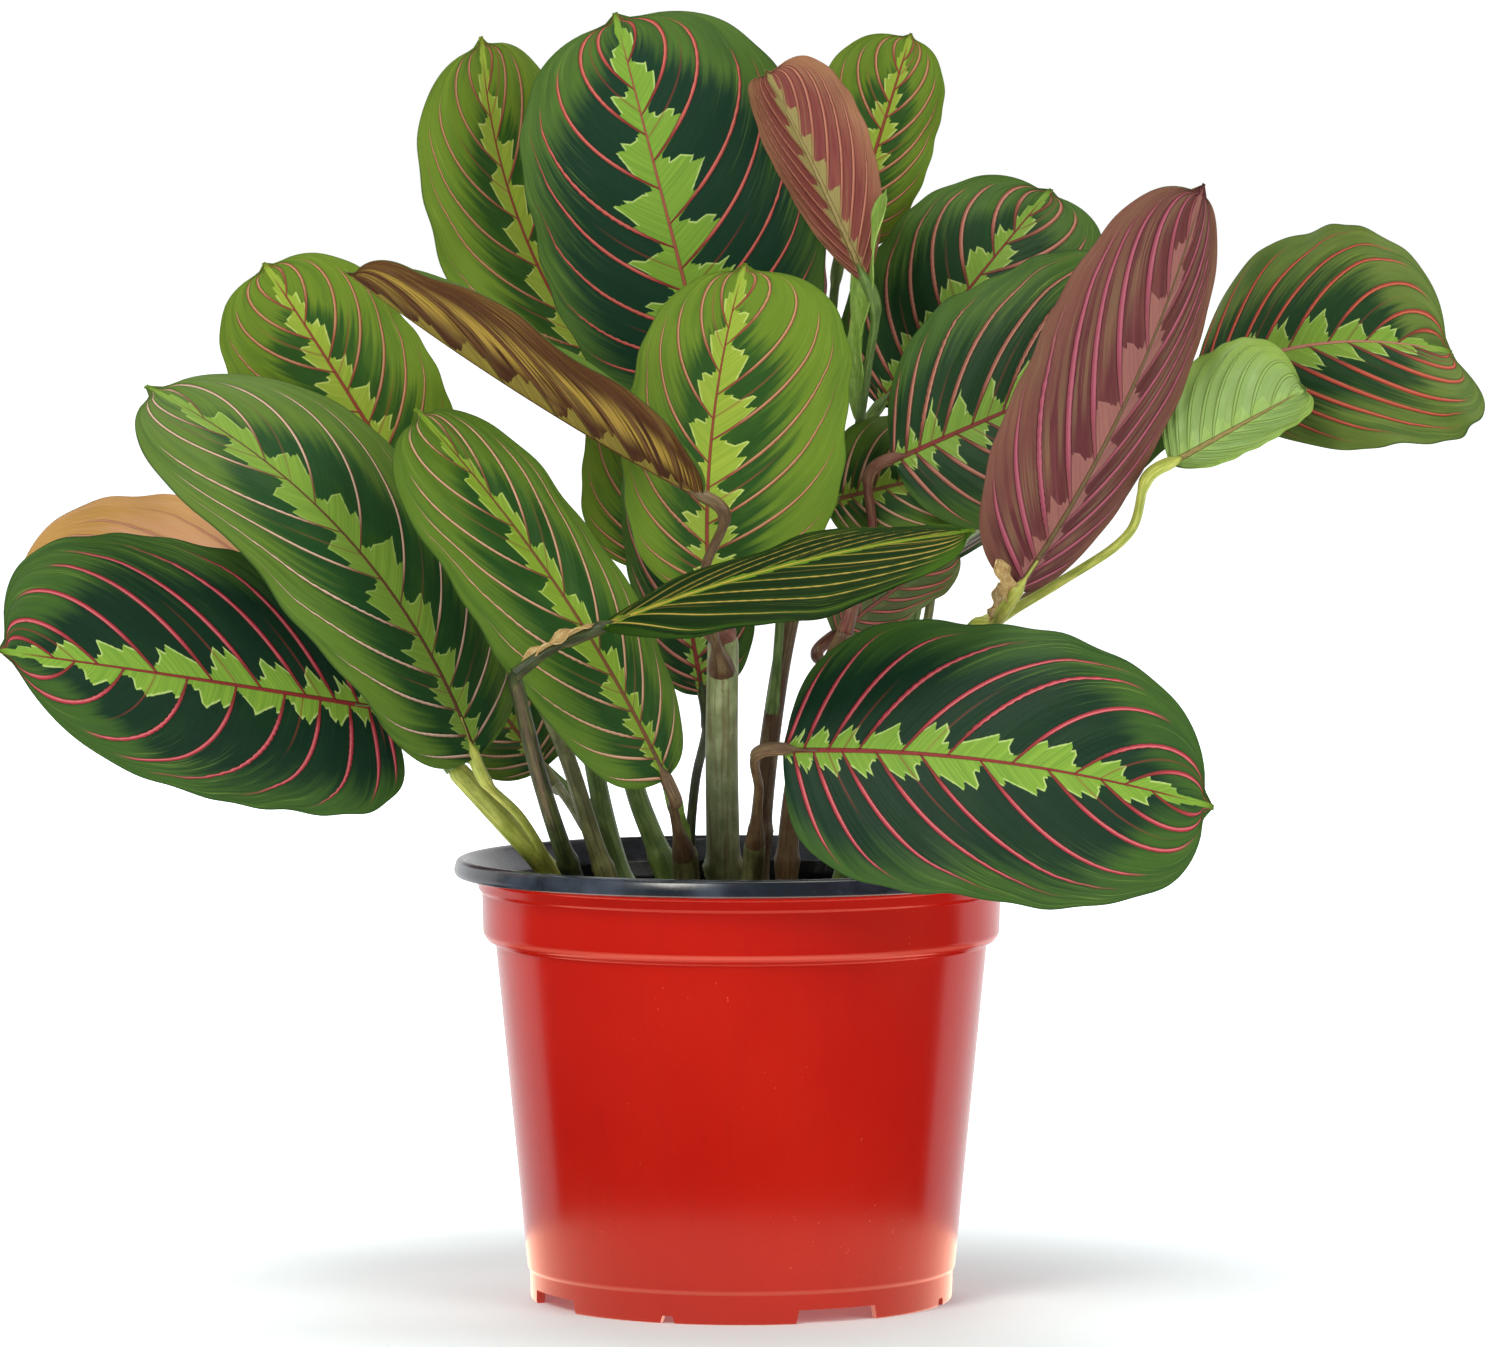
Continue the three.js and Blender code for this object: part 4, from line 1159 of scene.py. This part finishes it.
def plain_black(name, low, high, specular):
    """Glossy black plastic of the lip, whose blue-grey tone is partly a painted reflection, and duller below
    it inside, in a darker black that is painted shade.
    """
    material, tree, shader = new_material(name, 0.22, specular)
    x, y, z = place(tree)
    cloud = noise(tree, x * 60, y * 60, z * 60, detail=4)
    dust = noise(tree, x * 420, y * 420, z * 420, detail=3)
    colour = layered(tree, low, (cloud.above(0.4, 0.7), high), (dust.above(0.62, 0.75) * 0.3, "#424242"))
    plug(tree, colour, shader.inputs["Base Color"])
    plug(tree, cloud * 0.16 + 0.16, shader.inputs["Roughness"])
    add_bump(tree, shader, dust + cloud, 0.04)
    return material


SOIL_GRID = (44, 150)  # rings, and points in each
SOIL_REACH = 70.5 - WALL - 0.3
SOIL_LOW = ((70.3 - WALL - 0.3, 100.6), (60.9 - WALL - 0.3, FLOOR_TOP + 0.3))
CRUMBS = 520
CRUMB_SIZES = (0.8, 2.8)


def circle(radius, z, segments):
    turns = [2 * np.pi * k / segments for k in range(segments)]
    return [(radius * math.cos(a), radius * math.sin(a), z) for a in turns]


def soil_rise(x, y, radius, phase, crumb):
    """How far the uneven top stands over its mean height. It is flat at the pot's wall."""
    large = 1.3 * math.sin(0.21 * x + 0.8) * math.cos(0.17 * y)
    small = 0.9 * math.sin(0.43 * x - 0.37 * y)
    fine = 0.5 * math.sin(1.1 * x + phase) * math.cos(1.3 * y)
    return (large + small + fine + crumb) * min(1, (SOIL_REACH - radius) / 7)


def build_soil():
    """Dark peat with a crumbly top, and loose bark and peat crumbs on it."""
    rings, segments = SOIL_GRID
    rng = np.random.default_rng(7)
    phase = rng.uniform(0, 2 * np.pi, 8)[0]
    points = []
    for i in range(rings + 1):
        radius = SOIL_REACH * (i / rings)
        for x, y, _ in circle(radius, 0, segments):
            crumb = rng.uniform(-0.5, 0.6)
            points.append((x, y, SOIL_TOP + soil_rise(x, y, radius, phase, crumb)))
    top, upper, lower = (row * segments for row in (rings, rings + 1, rings + 2))
    for radius, z in SOIL_LOW:
        points += circle(radius, z, segments)
    after = [(k + 1) % segments for k in range(segments)]
    faces = []
    for i in range(rings):
        row = i * segments
        faces += [
            (row + k, row + k + segments, row + n + segments, row + n) for k, n in enumerate(after)
        ]
    for first, second in ((top, upper), (upper, lower)):
        faces += [(first + k, second + k, second + n, first + n) for k, n in enumerate(after)]
    faces.append(tuple(reversed(range(lower, lower + segments))))
    for _ in range(CRUMBS):
        radius = SOIL_REACH * math.sqrt(rng.uniform(0, 0.92))
        a = rng.uniform(0, 2 * np.pi)
        size = rng.uniform(*CRUMB_SIZES)
        add_crumb(points, faces, (radius * math.cos(a), radius * math.sin(a), SOIL_TOP + 0.4), size, rng)
    soil = new_object("potting_soil_crumbs", metres(points), faces, (soil_material(),))
    stands_for(soil, "potting_soil")


def add_crumb(points, faces, at, size, rng):
    """A small uneven lump with eight faces."""
    stretch = rng.uniform(0.6, 1.5, 3) * size
    start = len(points)
    for axis in range(3):
        for sign in (-1, 1):
            corner = rng.uniform(-0.25, 0.25, 3)
            corner[axis] += sign
            points.append(tuple(np.array(at) + corner * stretch * (1, 1, 0.55)))
    for x in (0, 1):
        for y in (0, 1):
            for z in (0, 1):
                face = (start + x, start + 2 + y, start + 4 + z)
                faces.append(face if (x + y + z) % 2 else face[::-1])


def soil_material():
    material, tree, shader = new_material("soil_peat", 0.9, 0.2)
    x, y, z = place(tree)
    grain = noise(tree, x * 600, y * 600, z * 600, detail=5)
    patch = noise(tree, x * 90, y * 90, z * 90, detail=3)
    colour = layered(
        tree, "#1e1611", (patch.above(0.35, 0.65), "#3a2a1e"), (grain.above(0.6, 0.75) * 0.6, "#604a34"),
    )
    plug(tree, colour, shader.inputs["Base Color"])
    add_bump(tree, shader, grain, 0.8)
    return material


FLOOR_SHADE = (0.1, 0.36)  # metres from the pot's axis between which the floor brightens
FLOOR_HALF = 30
SWEEP_RADIUS = 1.6
SWEEP_TURN = (22, 158)
SWEEP_HEIGHTS = (-0.6, 2.2)
SWEEP_STEPS = 24
TABLE_RADIUS = 0.135
TABLE_UNDER = -0.001
TABLE_SIDES = 64
LIGHT_AIM = (0, 0, 0.2)
# Each light's place, its width, its power and its colour
LIGHTS = {
    "key": ((-1.1, -1.9, 1.9), 1.1, 46, (1, 0.97, 0.87)),
    "fill": ((1.6, -1.5, 1.1), 1.4, 19, (1, 0.98, 0.9)),
    "top": ((0.1, 0.3, 2.3), 1.6, 27, (1, 0.99, 0.93)),
    "back": ((-0.4, 2.2, 1.5), 1.6, 18, (1, 1, 1)),
}


def glow(name, points, faces, strength, colour=(1, 1, 1, 1)):
    """A bright studio card that shows in gloss only."""
    material = bpy.data.materials.new(name)
    material.use_nodes = True
    tree = material.node_tree
    tree.nodes.clear()
    emission = tree.nodes.new("ShaderNodeEmission")
    emission.inputs["Color"].default_value = colour
    emission.inputs["Strength"].default_value = strength
    output = tree.nodes.new("ShaderNodeOutputMaterial")
    tree.links.new(emission.outputs[0], output.inputs["Surface"])
    card = new_object(name, points, faces, (material,))
    card.visible_camera = False
    card.visible_shadow = False
    card.visible_diffuse = False
    card.visible_transmission = False


def build_floor():
    """White all over: the floor shines by itself away from the pot, where the lights don't reach."""
    material, tree, shader = new_material("floor_white", 0.9, 0.1)
    x, y, _ = place(tree)
    away = (x * x + y * y).math("SQRT").above(*FLOOR_SHADE)
    shader.inputs["Base Color"].default_value = (0.74, 0.84, 0.89, 1)
    shader.inputs["Emission Color"].default_value = (1, 1, 1, 1)
    plug(tree, away * 0.9 + 0.1, shader.inputs["Emission Strength"])
    h = FLOOR_HALF
    corners = [(-h, -h, 0), (h, -h, 0), (h, h, 0), (-h, h, 0)]
    floor = new_object("floor", corners, [(0, 1, 2, 3)], (material,))
    floor.visible_glossy = False


def build_cards():
    """Soft reflections: a bright sweep behind the pot, and a bright disc of table round its foot."""
    start, stop = (math.radians(turn) for turn in SWEEP_TURN)
    points = []
    for k in range(SWEEP_STEPS + 1):
        a = start + (stop - start) * k / SWEEP_STEPS
        points += [(SWEEP_RADIUS * math.cos(a), SWEEP_RADIUS * math.sin(a), z) for z in SWEEP_HEIGHTS]
    faces = [(2 * k, 2 * k + 1, 2 * k + 3, 2 * k + 2) for k in range(SWEEP_STEPS)]
    glow("bright_sweep", points, faces, 1.3)
    disc = circle(TABLE_RADIUS, TABLE_UNDER, TABLE_SIDES)
    glow("bright_table", disc, [tuple(range(TABLE_SIDES))], 4.2, (1, 0.6, 0.45, 1))


def build_lights():
    for name, (at, width, power, colour) in LIGHTS.items():
        data = bpy.data.lights.new(name, "AREA")
        data.shape = "DISK"
        data.size = width
        data.energy = power
        data.color = colour
        light = bpy.data.objects.new(name, data)
        bpy.context.scene.collection.objects.link(light)
        light.location = at
        light.rotation_euler = (Vector(LIGHT_AIM) - Vector(at)).to_track_quat("-Z", "Y").to_euler()


def build_world():
    """White to the camera, and a dim studio to everything else."""
    world = bpy.data.worlds.new("studio")
    bpy.context.scene.world = world
    world.use_nodes = True
    tree = world.node_tree
    tree.nodes.clear()
    ray = tree.nodes.new("ShaderNodeLightPath")
    white = tree.nodes.new("ShaderNodeBackground")
    white.inputs["Strength"].default_value = 1.0
    white.inputs["Color"].default_value = (1, 1, 1, 1)
    dim = tree.nodes.new("ShaderNodeBackground")
    dim.inputs["Color"].default_value = (1, 0.99, 0.92, 1)
    # The camera's side of the studio is dark, so gloss shows little of it.
    glossy = Field(tree, ray.outputs["Is Glossy Ray"])
    plug(tree, 0.26 - glossy * 0.23, dim.inputs["Strength"])
    either = tree.nodes.new("ShaderNodeMixShader")
    output = tree.nodes.new("ShaderNodeOutputWorld")
    sources = (ray.outputs["Is Camera Ray"], dim.outputs[0], white.outputs[0])
    for source, slot in zip(sources, either.inputs):
        tree.links.new(source, slot)
    tree.links.new(either.outputs[0], output.inputs["Surface"])


CAMERA_LENS = 184.56
CAMERA_PLACE = (0.0025, -2.2, 0.305)
CAMERA_DIP = 0.0570  # how far it looks down, in radians


def build_camera():
    """The photograph's view: far away, a little above, looking slightly down."""
    data = bpy.data.cameras.new("camera")
    data.lens = CAMERA_LENS
    data.sensor_width = 36
    data.clip_end = 100
    camera = bpy.data.objects.new("camera", data)
    bpy.context.scene.collection.objects.link(camera)
    camera.location = CAMERA_PLACE
    camera.rotation_euler = (math.pi / 2 - CAMERA_DIP, 0, 0)
    bpy.context.scene.camera = camera


bpy.context.scene.view_settings.view_transform = "Standard"
bpy.context.scene.view_settings.look = "None"
build_camera()
build_floor()
build_cards()
build_lights()
build_world()
stalks = {name: stalk_material("stalk_" + name, *tone) for name, tone in STALKS.items()}
build_pot()
build_soil()
build_canes(stalks)
build_blades_and_stalks(stalks)
